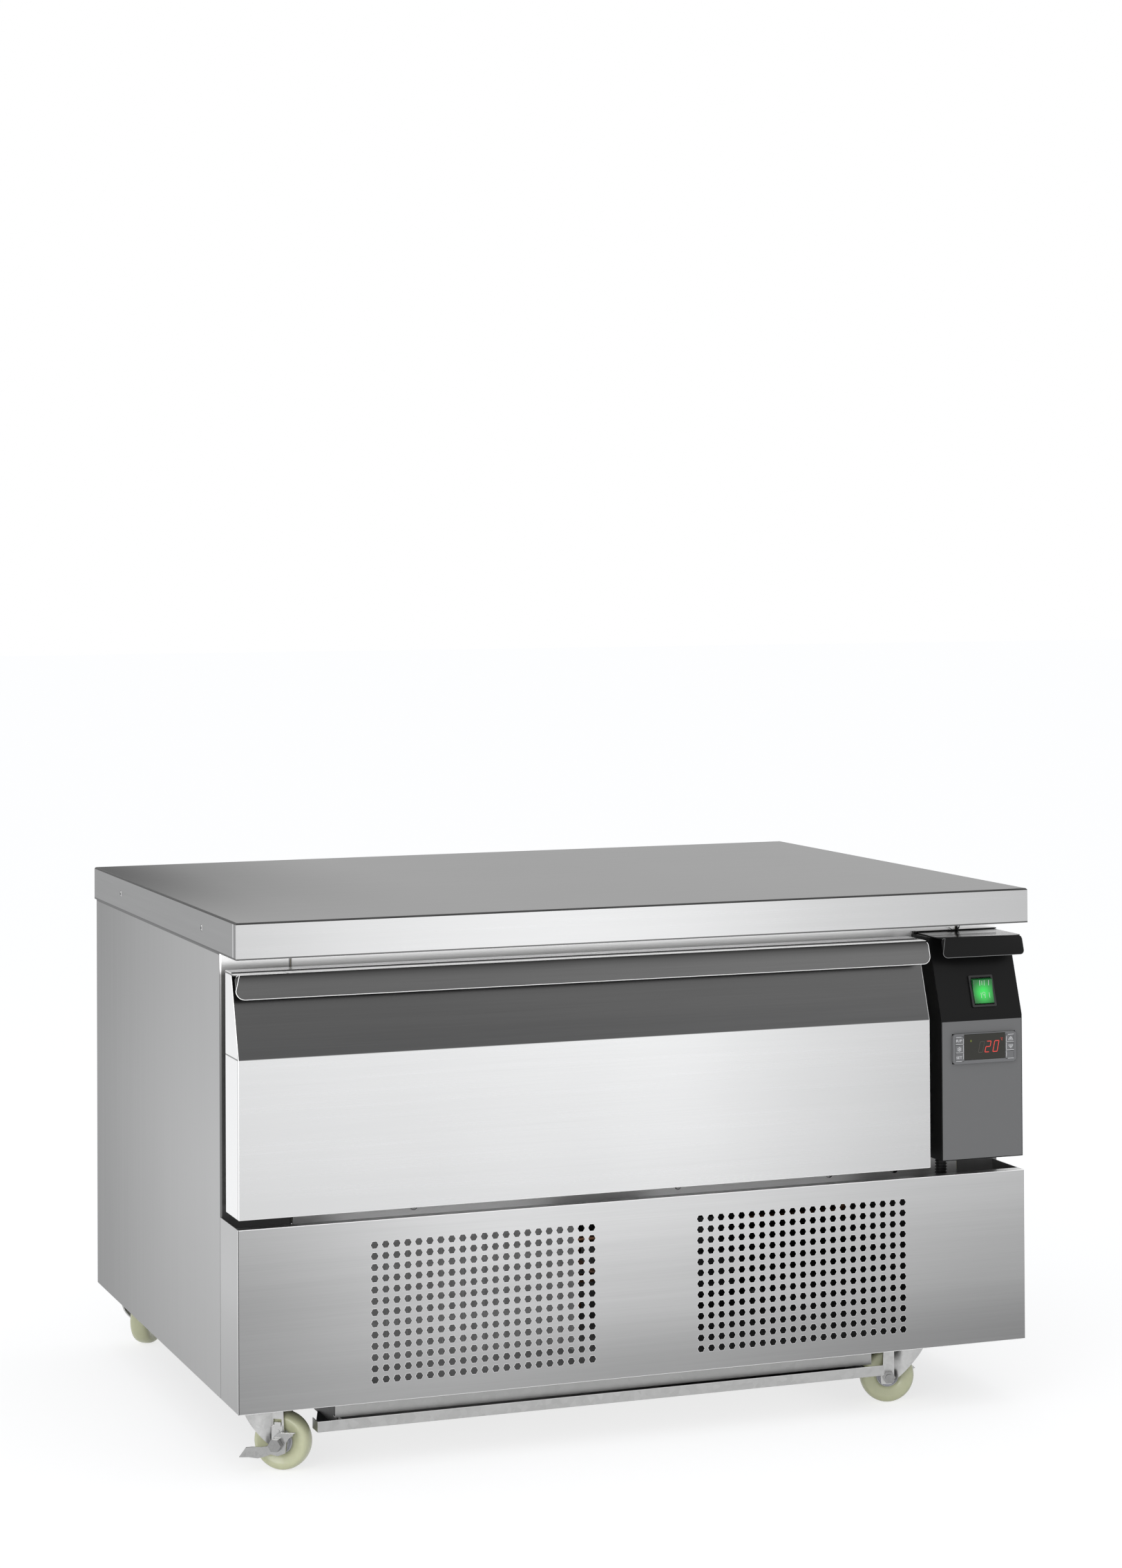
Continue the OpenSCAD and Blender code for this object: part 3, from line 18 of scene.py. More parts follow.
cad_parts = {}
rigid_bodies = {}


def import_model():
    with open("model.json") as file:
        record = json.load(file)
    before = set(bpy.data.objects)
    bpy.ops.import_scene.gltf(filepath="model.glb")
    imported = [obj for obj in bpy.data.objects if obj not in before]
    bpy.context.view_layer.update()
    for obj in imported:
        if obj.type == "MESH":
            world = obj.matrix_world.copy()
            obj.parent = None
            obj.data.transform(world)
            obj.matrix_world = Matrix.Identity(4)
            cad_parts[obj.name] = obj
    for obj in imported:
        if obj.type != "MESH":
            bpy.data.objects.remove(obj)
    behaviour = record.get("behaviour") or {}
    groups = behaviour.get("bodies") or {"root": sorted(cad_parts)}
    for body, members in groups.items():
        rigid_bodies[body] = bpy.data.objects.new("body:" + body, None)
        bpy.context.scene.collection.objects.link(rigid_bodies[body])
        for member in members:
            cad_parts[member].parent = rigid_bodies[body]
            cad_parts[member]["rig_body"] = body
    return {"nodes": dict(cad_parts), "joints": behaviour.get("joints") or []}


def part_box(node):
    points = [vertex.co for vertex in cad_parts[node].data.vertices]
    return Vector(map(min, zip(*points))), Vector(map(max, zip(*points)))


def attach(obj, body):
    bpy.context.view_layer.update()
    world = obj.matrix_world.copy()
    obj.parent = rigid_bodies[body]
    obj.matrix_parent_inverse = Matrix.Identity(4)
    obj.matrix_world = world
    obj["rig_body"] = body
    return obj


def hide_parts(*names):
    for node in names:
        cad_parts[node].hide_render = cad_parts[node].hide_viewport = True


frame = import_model()
LOG = logging.getLogger("drawer_unit")
MM = 0.001
WHITE = (1.0, 1.0, 1.0)
CREASE_Z = 427.0 * MM  # height of the crease under the slope
SLOPE_RATE = 29.2 / 85.8  # how far the slope leans back for each metre of height
FRAME_SEAM_X = -0.3730  # the seam in the rail over the drawer
SIDES = ("left", "right")
ROWS = ("top", "middle", "bottom")
Number = Union[int, float]
Point = Sequence[float]
Stops = Sequence[tuple[float, float]]
Face = bpy.types.MeshPolygon


class Axis(enum.Enum):
    """A direction of the frame."""

    X = 0
    Y = 1
    Z = 2


X, Y, Z = Axis


def turned(degrees: float, axis: str) -> Matrix:
    """A turn about an axis of the frame."""
    return Matrix.Rotation(math.radians(degrees), 4, axis)


def placed(name: str, data: bpy.types.ID) -> bpy.types.Object:
    """A new object of some data, linked to the scene."""
    thing = bpy.data.objects.new(name, data)
    bpy.context.scene.collection.objects.link(thing)
    return thing


# Shading


def feed(tree: bpy.types.NodeTree, socket: bpy.types.NodeSocket, value: object) -> None:
    """Links or sets one socket."""
    if isinstance(value, Value):
        tree.links.new(value.socket, socket)
    elif isinstance(value, bpy.types.NodeSocket):
        tree.links.new(value, socket)
    elif isinstance(value, (tuple, list)) and len(value) == 3 and socket.type == "RGBA":
        socket.default_value = (*value, 1.0)
    else:
        socket.default_value = value


def add_node(
    tree: bpy.types.NodeTree,
    kind: str,
    inputs: Optional[dict[Union[str, int], object]] = None,
    **settings: object,
) -> bpy.types.Node:
    """Adds a node.

    Args:
        tree: the tree that it goes into.
        kind: the node's type name.
        inputs: its sockets by name or number: numbers, colours, Values or sockets to link.
        settings: its properties, set first.

    Returns:
        The node.
    """
    node = tree.nodes.new(kind)
    for key, value in settings.items():
        setattr(node, key, value)
    for key, value in (inputs or {}).items():
        feed(tree, node.inputs[key], value)
    return node


class Value:
    """A number carried by a shader socket, which takes part in arithmetic."""

    def __init__(self, tree: bpy.types.NodeTree, socket: bpy.types.NodeSocket) -> None:
        """Keeps the tree that the arithmetic is added to, and the socket."""
        self.tree = tree
        self.socket = socket

    def maths(self, operation: str, *terms: Union["Value", Number]) -> "Value":
        """The result of one Math node on some terms, in order."""
        node = add_node(self.tree, "ShaderNodeMath", dict(enumerate(terms)), operation=operation)
        return Value(self.tree, node.outputs[0])

    def __add__(self, other: Union["Value", Number]) -> "Value":
        """Sum."""
        return self.maths("ADD", self, other)

    def __radd__(self, other: Number) -> "Value":
        """Sum, with the number first."""
        return self.maths("ADD", other, self)

    def __sub__(self, other: Union["Value", Number]) -> "Value":
        """Difference."""
        return self.maths("SUBTRACT", self, other)

    def __rsub__(self, other: Number) -> "Value":
        """Difference, with the number first."""
        return self.maths("SUBTRACT", other, self)

    def __mul__(self, other: Union["Value", Number]) -> "Value":
        """Product."""
        return self.maths("MULTIPLY", self, other)

    def __rmul__(self, other: Number) -> "Value":
        """Product, with the number first."""
        return self.maths("MULTIPLY", other, self)

    def __truediv__(self, other: Union["Value", Number]) -> "Value":
        """Quotient."""
        return self.maths("DIVIDE", self, other)

    def __abs__(self) -> "Value":
        """Size without its sign."""
        return self.maths("ABSOLUTE", self)

    def smooth(self, low: float, high: float) -> "Value":
        """A soft step from 0 at low to 1 at high."""
        inputs = {"From Min": low, "From Max": high, "Value": self}
        node = add_node(self.tree, "ShaderNodeMapRange", inputs, interpolation_type="SMOOTHSTEP")
        return Value(self.tree, node.outputs["Result"])


class Shader:
    """One material's node tree, with short ways to add to it."""

    def __init__(self, name: str) -> None:
        """Makes an empty material with a Principled shader on its surface."""
        self.material = bpy.data.materials.new(name)
        self.material.use_nodes = True
        self.tree = self.material.node_tree
        self.tree.nodes.clear()
        self.surface = self.node("ShaderNodeBsdfPrincipled")
        self.output = self.node("ShaderNodeOutputMaterial", {"Surface": self.surface.outputs[0]})
        self.place = self.node("ShaderNodeTexCoord").outputs["Object"]

    def node(
        self, kind: str, inputs: Optional[dict[Union[str, int], object]] = None, **settings: object
    ) -> bpy.types.Node:
        """Adds a node to this tree, as add_node says."""
        return add_node(self.tree, kind, inputs, **settings)

    def set(self, **values: object) -> None:
        """Feeds sockets of the Principled shader; an underscore in a name stands for a space."""
        for key, value in values.items():
            feed(self.tree, self.surface.inputs[key.replace("_", " ")], value)

    def axis(self, which: Axis) -> Value:
        """The coordinate of the shaded point along an axis of the frame."""
        split = self.node("ShaderNodeSeparateXYZ", {0: self.place})
        return Value(self.tree, split.outputs[which.value])

    def first(self, colour: bpy.types.NodeSocket) -> Value:
        """The red share of a colour."""
        return Value(self.tree, self.node("ShaderNodeSeparateColor", {0: colour}).outputs[0])

    def stretched(self, scale: Point) -> bpy.types.NodeSocket:
        """The place of the shaded point, scaled by a number for each axis."""
        return self.node("ShaderNodeVectorMath", {0: self.place, 1: scale}, operation="MULTIPLY").outputs[0]

    def noise(self, scale: Point, detail: float) -> Value:
        """Soft noise from about 0 to 1, with cells of 1/scale metres."""
        inputs = {"Vector": self.stretched(scale), "Scale": 1.0, "Detail": detail, "Roughness": 0.55}
        node = self.node("ShaderNodeTexNoise", inputs, noise_dimensions="3D")
        return Value(self.tree, node.outputs[0])

    def cells(self, scale: Point) -> Value:
        """Voronoi cells, each with a random number of its own."""
        node = self.node("ShaderNodeTexVoronoi", {"Vector": self.stretched(scale), "Scale": 1.0})
        return self.first(node.outputs["Color"])

    def near(self, spot: Point, reach: float) -> Value:
        """1 at a point of the frame, falling softly to 0 at a distance from it."""
        node = self.node("ShaderNodeVectorMath", {0: self.place, 1: spot}, operation="DISTANCE")
        return Value(self.tree, node.outputs["Value"]).smooth(reach, 0.0)

    def ramp(self, axis: Axis, stops: Stops) -> Value:
        """A level that follows a smooth curve along an axis, through stops of coordinate and level."""
        low, high = stops[0][0], stops[-1][0]
        node = self.node("ShaderNodeValToRGB", {0: (self.axis(axis) - low) / (high - low)})
        ramp = node.color_ramp
        ramp.interpolation = "B_SPLINE" if len(stops) > 3 else "EASE"
        while len(ramp.elements) < len(stops):
            ramp.elements.new(0.5)
        for element, (at, level) in zip(ramp.elements, stops):
            element.position = (at - low) / (high - low)
            element.color = (level, level, level, 1.0)
        return self.first(node.outputs[0])

    def tint(self, level: Value, colour: Point) -> bpy.types.NodeSocket:
        """A colour scaled by a level that varies over the surface."""
        grey = self.node("ShaderNodeCombineColor", {0: level, 1: level, 2: level})
        settings = {"data_type": "RGBA", "blend_type": "MULTIPLY", "clamp_factor": True}
        return self.node("ShaderNodeMix", {0: 1.0, 6: grey.outputs[0], 7: colour}, **settings).outputs[2]

    def shade(self, share: Value) -> None:
        """Mixes a share of a dark matt surface into the Principled shader, as painted shade."""
        look = {"Base Color": (0.01, 0.01, 0.01), "Roughness": 0.8, "Specular IOR Level": 0.0}
        dark = self.node("ShaderNodeBsdfPrincipled", look)
        mixed = self.node("ShaderNodeMixShader", {0: share, 1: self.surface.outputs[0], 2: dark.outputs[0]})
        feed(self.tree, self.output.inputs["Surface"], mixed.outputs[0])

    def bump(self, height: Value, distance: float, strength: float) -> None:
        """Raises the surface by a height; the distance is what a height of 1 stands for."""
        inputs = {"Height": height, "Distance": distance, "Strength": strength}
        self.set(Normal=self.node("ShaderNodeBump", inputs).outputs[0])


@dataclass(frozen=True)
class BrushedSteel:
    """Brushed stainless sheet whose tone is painted to drift slowly over it: painted reflection and shade,
    as a room lays them on polished sheet.

    The tones are stops along the drift, and rise has stops of height that scale them with more painted light
    or shade. A seam is an axis, a coordinate, half its width and its level: below 1 a dark line, above 1 a
    painted highlight. A corner is a fade of painted shade, a dark matt surface mixed in: an axis with where
    it starts and ends, a second one with the same, and how deep the fade goes. A glow is painted light along
    an axis.
    """

    name: str
    grain: Axis
    drift: Axis
    tones: Stops
    rise: Stops = ((0.0, 1.0), (0.6, 1.0))
    roughness: float = 0.30
    streak: float = 0.10
    seams: tuple[tuple[Axis, float, float, float], ...] = ()
    corners: tuple[tuple[Axis, float, float, Axis, float, float, float], ...] = ()
    edge_tint: float = 1.0
    glow: Optional[tuple[Axis, Stops]] = None

    def brushed(self, shader: Shader, across: float, along: float, detail: float) -> Value:
        """Noise with so many cells in a metre across the grain and along it."""
        scale = [across] * 3
        scale[self.grain.value] = along
        return shader.noise(scale, detail)

    def make(self) -> bpy.types.Material:
        """Builds the material."""
        shader = Shader(self.name)
        # Painted reflection and shade: the tone along the drift, scaled with height by painted light or
        # shade.
        along = shader.ramp(self.drift, self.tones)
        upward = shader.ramp(Z, self.rise)
        hair = self.brushed(shader, 900.0, 9.0, 2.0)
        band = self.brushed(shader, 160.0, 2.5, 3.0)
        cloud = shader.noise((4.0, 4.0, 4.0), 2.0)
        level = along * upward * (1.0 - self.streak + (hair + band) * self.streak)
        level = level * (0.96 + cloud * 0.08)
        for axis, at, half, depth in self.seams:
            away = abs(shader.axis(axis) - at)
            level = level * (depth + (1.0 - depth) * away.smooth(half * 0.8, half * 1.3))
        shader.set(
            Base_Color=shader.tint(level, WHITE),
            Metallic=1.0,
            Roughness=(self.roughness - 0.06) + band * 0.08 + hair * 0.05,
            Specular_Tint=(self.edge_tint, self.edge_tint, self.edge_tint),
        )
        # Painted light: emission on steel that is no lamp.
        if self.glow is not None:
            shader.set(Emission_Color=shader.tint(shader.ramp(*self.glow), WHITE), Emission_Strength=1.0)
        shader.bump(hair + band * 0.5, 0.00002, 0.6)
        # Painted shade: towards the corners a dark matt surface is mixed in.
        clear: Union[Value, Number] = 1.0
        for first, from_1, to_1, second, from_2, to_2, depth in self.corners:
            share = shader.axis(first).smooth(from_1, to_1) * shader.axis(second).smooth(from_2, to_2)
            clear = (1.0 - share * depth) * clear
        if self.corners:
            shader.shade(1.0 - clear)
        return shader.material


@dataclass(frozen=True)
class Zinc:
    """Zinc plated or galvanised metal, with faint cells and cloudy tarnish."""

    name: str
    tone: float
    cell: float = 0.004
    contrast: float = 0.12
    roughness: float = 0.34
    tint: tuple[float, float, float] = (1.0, 1.0, 0.99)

    def make(self) -> bpy.types.Material:
        """Builds the material."""
        shader = Shader(self.name)
        size = 1.0 / self.cell
        cell = shader.cells((size, size, size))
        cloud = shader.noise((90.0, 90.0, 90.0), 4.0)
        rub = shader.noise((40.0, 900.0, 900.0), 2.0)
        level = self.tone * (1.0 - self.contrast + cell * self.contrast + (cloud - 0.5) * 2 * self.contrast)
        shader.set(
            Base_Color=shader.tint(level, self.tint),
            Metallic=1.0,
            Roughness=self.roughness - 0.08 + cloud * 0.18,
        )
        shader.bump(rub * 0.4 + cloud, 0.00005, 0.5)
        return shader.material


@dataclass(frozen=True)
class Coating:
    """A paint, film or moulded plastic with its own fine skin; a spot is where its glow is strongest."""

    name: str
    colour: tuple[float, float, float]
    roughness: float
    grain: float = 0.0012
    relief: float = 0.00003
    variation: float = 0.08
    coat: float = 0.0
    glow: tuple[float, float, float] = (0.0, 0.0, 0.0)
    glow_level: float = 0.0
    specular: float = 0.5
    spot: Optional[tuple[Point, float]] = None

    def make(self) -> bpy.types.Material:
        """Builds the material."""
        shader = Shader(self.name)
        size = 1.0 / self.grain
        skin = shader.noise((size, size, size), 3.0)
        cloud = shader.noise((22.0, 22.0, 22.0), 3.0)
        level = 1.0 - self.variation + (cloud + skin) * self.variation
        shader.set(
            Base_Color=shader.tint(level, self.colour),
            Roughness=self.roughness - 0.04 + cloud * 0.08,
            Coat_Weight=self.coat,
            Coat_Roughness=0.08,
            Emission_Color=shader.tint(shader.near(*self.spot), self.glow) if self.spot else self.glow,
            Emission_Strength=self.glow_level,
            Specular_IOR_Level=self.specular,
        )
        shader.bump(skin, self.relief, 0.5)
        return shader.material


FRAME_SEAMS = ((X, FRAME_SEAM_X, 0.0015, 0.06),)
FINISH_LIST = (
    # Painted shade: the top darkens towards its left end and its back.
    BrushedSteel(
        "worktop_steel", X, X, ((-0.45, 0.40), (0.0, 0.40), (0.45, 0.42)), roughness=0.36, streak=0.05,
        corners=((X, -0.15, -0.50, Y, -0.45, 0.32, 0.46), (X, -0.34, -0.46, Y, -0.42, 0.32, 0.36)),
        edge_tint=0.6,
    ),
    # Painted reflection: lighter in the middle of the front edge, darker at its ends; a painted shade line
    # runs along its foot.
    BrushedSteel(
        "worktop_edge", X, X,
        ((-0.45, 0.68), (-0.33, 0.86), (-0.15, 0.96), (0.05, 0.92), (0.22, 0.71), (0.45, 0.56)),
        roughness=0.26, streak=0.05, seams=((Z, 0.5288, 0.0007, 0.22),),
    ),
    # Painted reflection along the side, a painted highlight line beside the front corner with a dark line in
    # front of it, and a painted shade line along the lower edge.
    BrushedSteel(
        "worktop_side", Y, Y, ((-0.34, 0.265), (0.0, 0.235), (0.34, 0.21)), roughness=0.3, streak=0.05,
        seams=((Y, -0.3275, 0.0014, 2.6), (Y, -0.3335, 0.0014, 0.4), (Z, 0.5290, 0.0009, 0.12)),
    ),
    # Painted reflection and shade: lighter at the front and at middle height, darker towards the back; a
    # painted shade line under the top.
    BrushedSteel(
        "side_steel", Z, Y, ((-0.34, 0.46), (-0.2, 0.45), (0.1, 0.325), (0.34, 0.205)),
        ((0.05, 0.93), (0.3, 1.06), (0.53, 0.92)), 0.34, 0.06, seams=((Z, 0.5268, 0.0008, 0.25),),
    ),
    # Painted shade where the stile stands beside the drawer, painted light above the lip, where a glow adds
    # more.
    BrushedSteel(
        "stile_steel", Z, Z, ((0.07, 0.14), (0.30, 0.14), (0.505, 0.12), (0.512, 0.9), (0.53, 0.9)),
        streak=0.04, seams=FRAME_SEAMS,
        glow=(Z, ((0.505, 0.0), (0.512, 0.08), (0.517, 0.14), (0.5195, 0.30), (0.528, 0.30))),
    ),
    # Painted light: a glow brightens the strip above the lip, and the tone fades towards the right.
    BrushedSteel(
        "frame_steel", X, X, ((-0.45, 1.0), (0.0, 1.0), (0.45, 0.82)), roughness=0.34, seams=FRAME_SEAMS,
        glow=(Z, ((0.505, 0.0), (0.512, 0.08), (0.517, 0.10), (0.5195, 0.26), (0.528, 0.26))),
    ),
    # Painted highlight: the lip's top is bright and glowing along its front, dark behind it.
    BrushedSteel(
        "lip_top", X, Y, ((-0.332, 0.95), (-0.319, 0.95), (-0.314, 0.12), (-0.285, 0.12)), streak=0.03,
        seams=((X, -0.3936, 0.0012, 0.1),),
        glow=(Y, ((-0.332, 0.42), (-0.318, 0.42), (-0.315, 0.0), (-0.285, 0.0))),
    ),
    # Painted reflection: lighter in the middle and towards the top, darker at the right; a painted shade
    # line at the crease.
    BrushedSteel(
        "drawer_steel", X, X, ((-0.45, 0.74), (-0.05, 0.90), (0.1, 0.86), (0.33, 0.61)),
        ((0.26, 0.95), (0.34, 1.02), (0.42, 1.07)), 0.26, 0.05, seams=((Z, 0.427, 0.0005, 0.45),),
    ),
    # Painted shade lines along the crease and the front fold of the side; the side darkens slightly towards
    # the top.
    BrushedSteel(
        "drawer_side", Z, Z, ((0.26, 1.0), (0.40, 0.98), (0.52, 0.92)), streak=0.04,
        seams=((Z, 0.427, 0.0007, 0.25), (Y, -0.3372, 0.0010, 0.55)),
    ),
    # Painted reflection and light: the sheet is painted dark on the slope, and brightened up to sevenfold
    # just under the lip.
    BrushedSteel(
        "slope_steel", X, X, ((-0.45, 0.105), (0.33, 0.13)),
        ((0.425, 1.0), (0.466, 1.0), (0.476, 1.7), (0.482, 4.5), (0.50, 7.0)), 0.24, 0.16,
    ),
    # Painted shade: the lip strip is dark and darkens further towards its top.
    BrushedSteel(
        "lip_steel", X, X, ((-0.45, 0.13), (0.33, 0.17)),
        ((0.485, 1.0), (0.502, 1.02), (0.508, 0.62), (0.512, 0.15)), 0.24, 0.16,
    ),
    # Painted reflection: lighter in the middle, darker at the ends and towards the bottom; the corners add
    # painted shade at the lower left.
    BrushedSteel(
        "panel_steel", X, X,
        ((-0.45, 0.43), (-0.34, 0.57), (-0.22, 0.74), (-0.06, 0.74),
         (0.10, 0.68), (0.26, 0.57), (0.45, 0.49)),
        ((0.07, 0.76), (0.16, 0.83), (0.26, 1.05)),
        corners=((X, -0.44, -0.22, Z, 0.17, 0.07, 0.20), (X, -0.34, -0.02, Z, 0.17, 0.07, 0.14)),
    ),
    # Painted reflection, darker towards the bottom, and a painted highlight line along the front edge.
    BrushedSteel(
        "return_steel", Z, X, ((-0.45, 0.53), (0.45, 0.50)),
        ((0.07, 0.70), (0.16, 0.88), (0.20, 1.0), (0.26, 0.95)), 0.30, 0.06,
        seams=((Y, -0.3380, 0.0014, 1.7),),
    ),
    BrushedSteel("liner_steel", Y, X, ((-0.45, 0.62), (0.45, 0.62)), roughness=0.36, streak=0.06),
    # Painted highlight on the upward faces of the tray's front rim.
    BrushedSteel("rim_steel", X, X, ((-0.45, 0.86), (0.45, 0.86)), roughness=0.34, streak=0.04),
    # Painted highlight for bevels, hems and hole rims.
    BrushedSteel("bright_steel", X, X, ((-0.45, 1.0), (0.45, 1.0)), roughness=0.5, streak=0.02),
    # Painted shade in holes and on bevels that turn away from the light.
    BrushedSteel("seam_steel", X, X, ((-0.45, 0.06), (0.45, 0.06)), roughness=0.5),
    Zinc("galvanised", 0.46, 0.006, 0.16, 0.38),
    Zinc("tray_zinc", 0.52, 0.006, 0.10, 0.40),
    Zinc("rail_zinc", 0.46, 0.006, 0.06, 0.50),
    # Painted shade inside the tray.
    Zinc("tray_floor", 0.34, 0.006, 0.12, 0.45),
    # Painted shade for zinc behind the rail and at the ends of the tray.
    Zinc("dark_zinc", 0.10, 0.006, 0.16, 0.50),
    Zinc("zinc", 0.58, 0.0035, 0.10, 0.30),
    Zinc("lever_zinc", 0.46, 0.0035, 0.10, 0.22),
    Zinc("dark_bolt", 0.34, 0.003, 0.10, 0.22),
    Zinc("screw_steel", 0.62, 0.002, 0.06, 0.22),
    Zinc("fin_aluminium", 0.48, 0.003, 0.12, 0.42),
    Zinc("copper_pipe", 0.80, 0.004, 0.15, 0.34, (0.86, 0.46, 0.28)),
    # Painted light: the condenser's fins glow faintly behind the perforations.
    Coating("fins_painted_glow", (0.42, 0.42, 0.42), 0.6, 0.003, 0.00005, 0.12, 0.0, WHITE, 0.05),
    # Painted shade and light: the base plate is dark, with a faint glow strongest under the left field of
    # holes.
    Coating(
        "base_painted_shade_glow", (0.14, 0.14, 0.14), 0.6, 0.003, 0.00005, 0.12, 0.0, WHITE, 0.06,
        spot=((-0.19, -0.25, 0.082), 0.26),
    ),
    Coating("board", (0.50, 0.38, 0.24), 0.8, 0.002, 0.0002, 0.25),
    Coating("foam", (0.80, 0.72, 0.50), 0.9, 0.0008, 0.0001, 0.12),
    Coating("black_paint", (0.006, 0.006, 0.006), 0.34, 0.0014, 0.00003, 0.06, specular=0.16),
    Coating("grey_film", (0.155, 0.155, 0.155), 0.50, 0.0007, 0.00002, 0.04),
    Coating("grey_plastic", (0.165, 0.165, 0.168), 0.45, 0.0005, 0.00003, 0.05),
    Coating("window_plastic", (0.034, 0.033, 0.027), 0.16, 0.003, 0.0, 0.05, specular=0.3),
    Coating("black_plastic", (0.012, 0.012, 0.012), 0.38, 0.0008, 0.00003, 0.1),
    Coating(
        "green_rocker", (0.01, 0.15, 0.03), 0.22, 0.002, 0.0, 0.12, 0.2, (0.04, 0.85, 0.10), 0.75,
        spot=((0.3975, -0.3350, 0.4525), 0.0165),
    ),
    Coating("rocker_edge", (0.07, 0.13, 0.08), 0.2, 0.002, 0.0, 0.10, 0.3),
    Coating("gasket_rubber", (0.30, 0.30, 0.30), 0.6, 0.001, 0.00005, 0.08),
    Coating("white_plastic", (0.72, 0.72, 0.70), 0.5, 0.001, 0.00003, 0.05),
    Coating("compressor_paint", (0.020, 0.020, 0.022), 0.34, 0.0016, 0.00006, 0.12, 0.1),
    Coating("nylon_wheel", (0.60, 0.61, 0.40), 0.26, 0.006, 0.00004, 0.10, 0.25),
    Coating("hub_grey", (0.58, 0.58, 0.62), 0.45, 0.002, 0.00004, 0.10),
    # Painted highlight on the control box's folded left edges and its lip's hem.
    Coating("edge_black", (0.22, 0.22, 0.22), 0.3, 0.0014, 0.00002, 0.06, 0.3),
    Coating("gloss_black", (0.03, 0.03, 0.03), 0.18, 0.0014, 0.0, 0.06, 0.1),
    # Painted shade: the dark crosses that stand for the screw heads' recesses.
    Coating("mark_dark", (0.01, 0.01, 0.01), 0.6, 0.001, 0.0, 0.02),
    Coating("mark_white", (0.74, 0.74, 0.74), 0.5, 0.001, 0.0, 0.02),
    Coating("digit_red", (0.20, 0.02, 0.02), 0.4, 0.001, 0.0, 0.02, 0.0, (1.0, 0.07, 0.05), 0.62),
    Coating("digit_ghost", (0.055, 0.050, 0.040), 0.4, 0.001, 0.0, 0.02),
    Coating("dot_green", (0.05, 0.06, 0.01), 0.4, 0.001, 0.0, 0.02, 0.0, (0.26, 0.32, 0.02), 0.22),
)
FINISHES = {made.name: made for made in FINISH_LIST}
MADE: dict[str, bpy.types.Material] = {}


def finish(name: str) -> bpy.types.Material:
    """The material of a named finish, built the first time that it is asked for."""
    if name not in MADE:
        MADE[name] = FINISHES[name].make()
    return MADE[name]


# Shapes


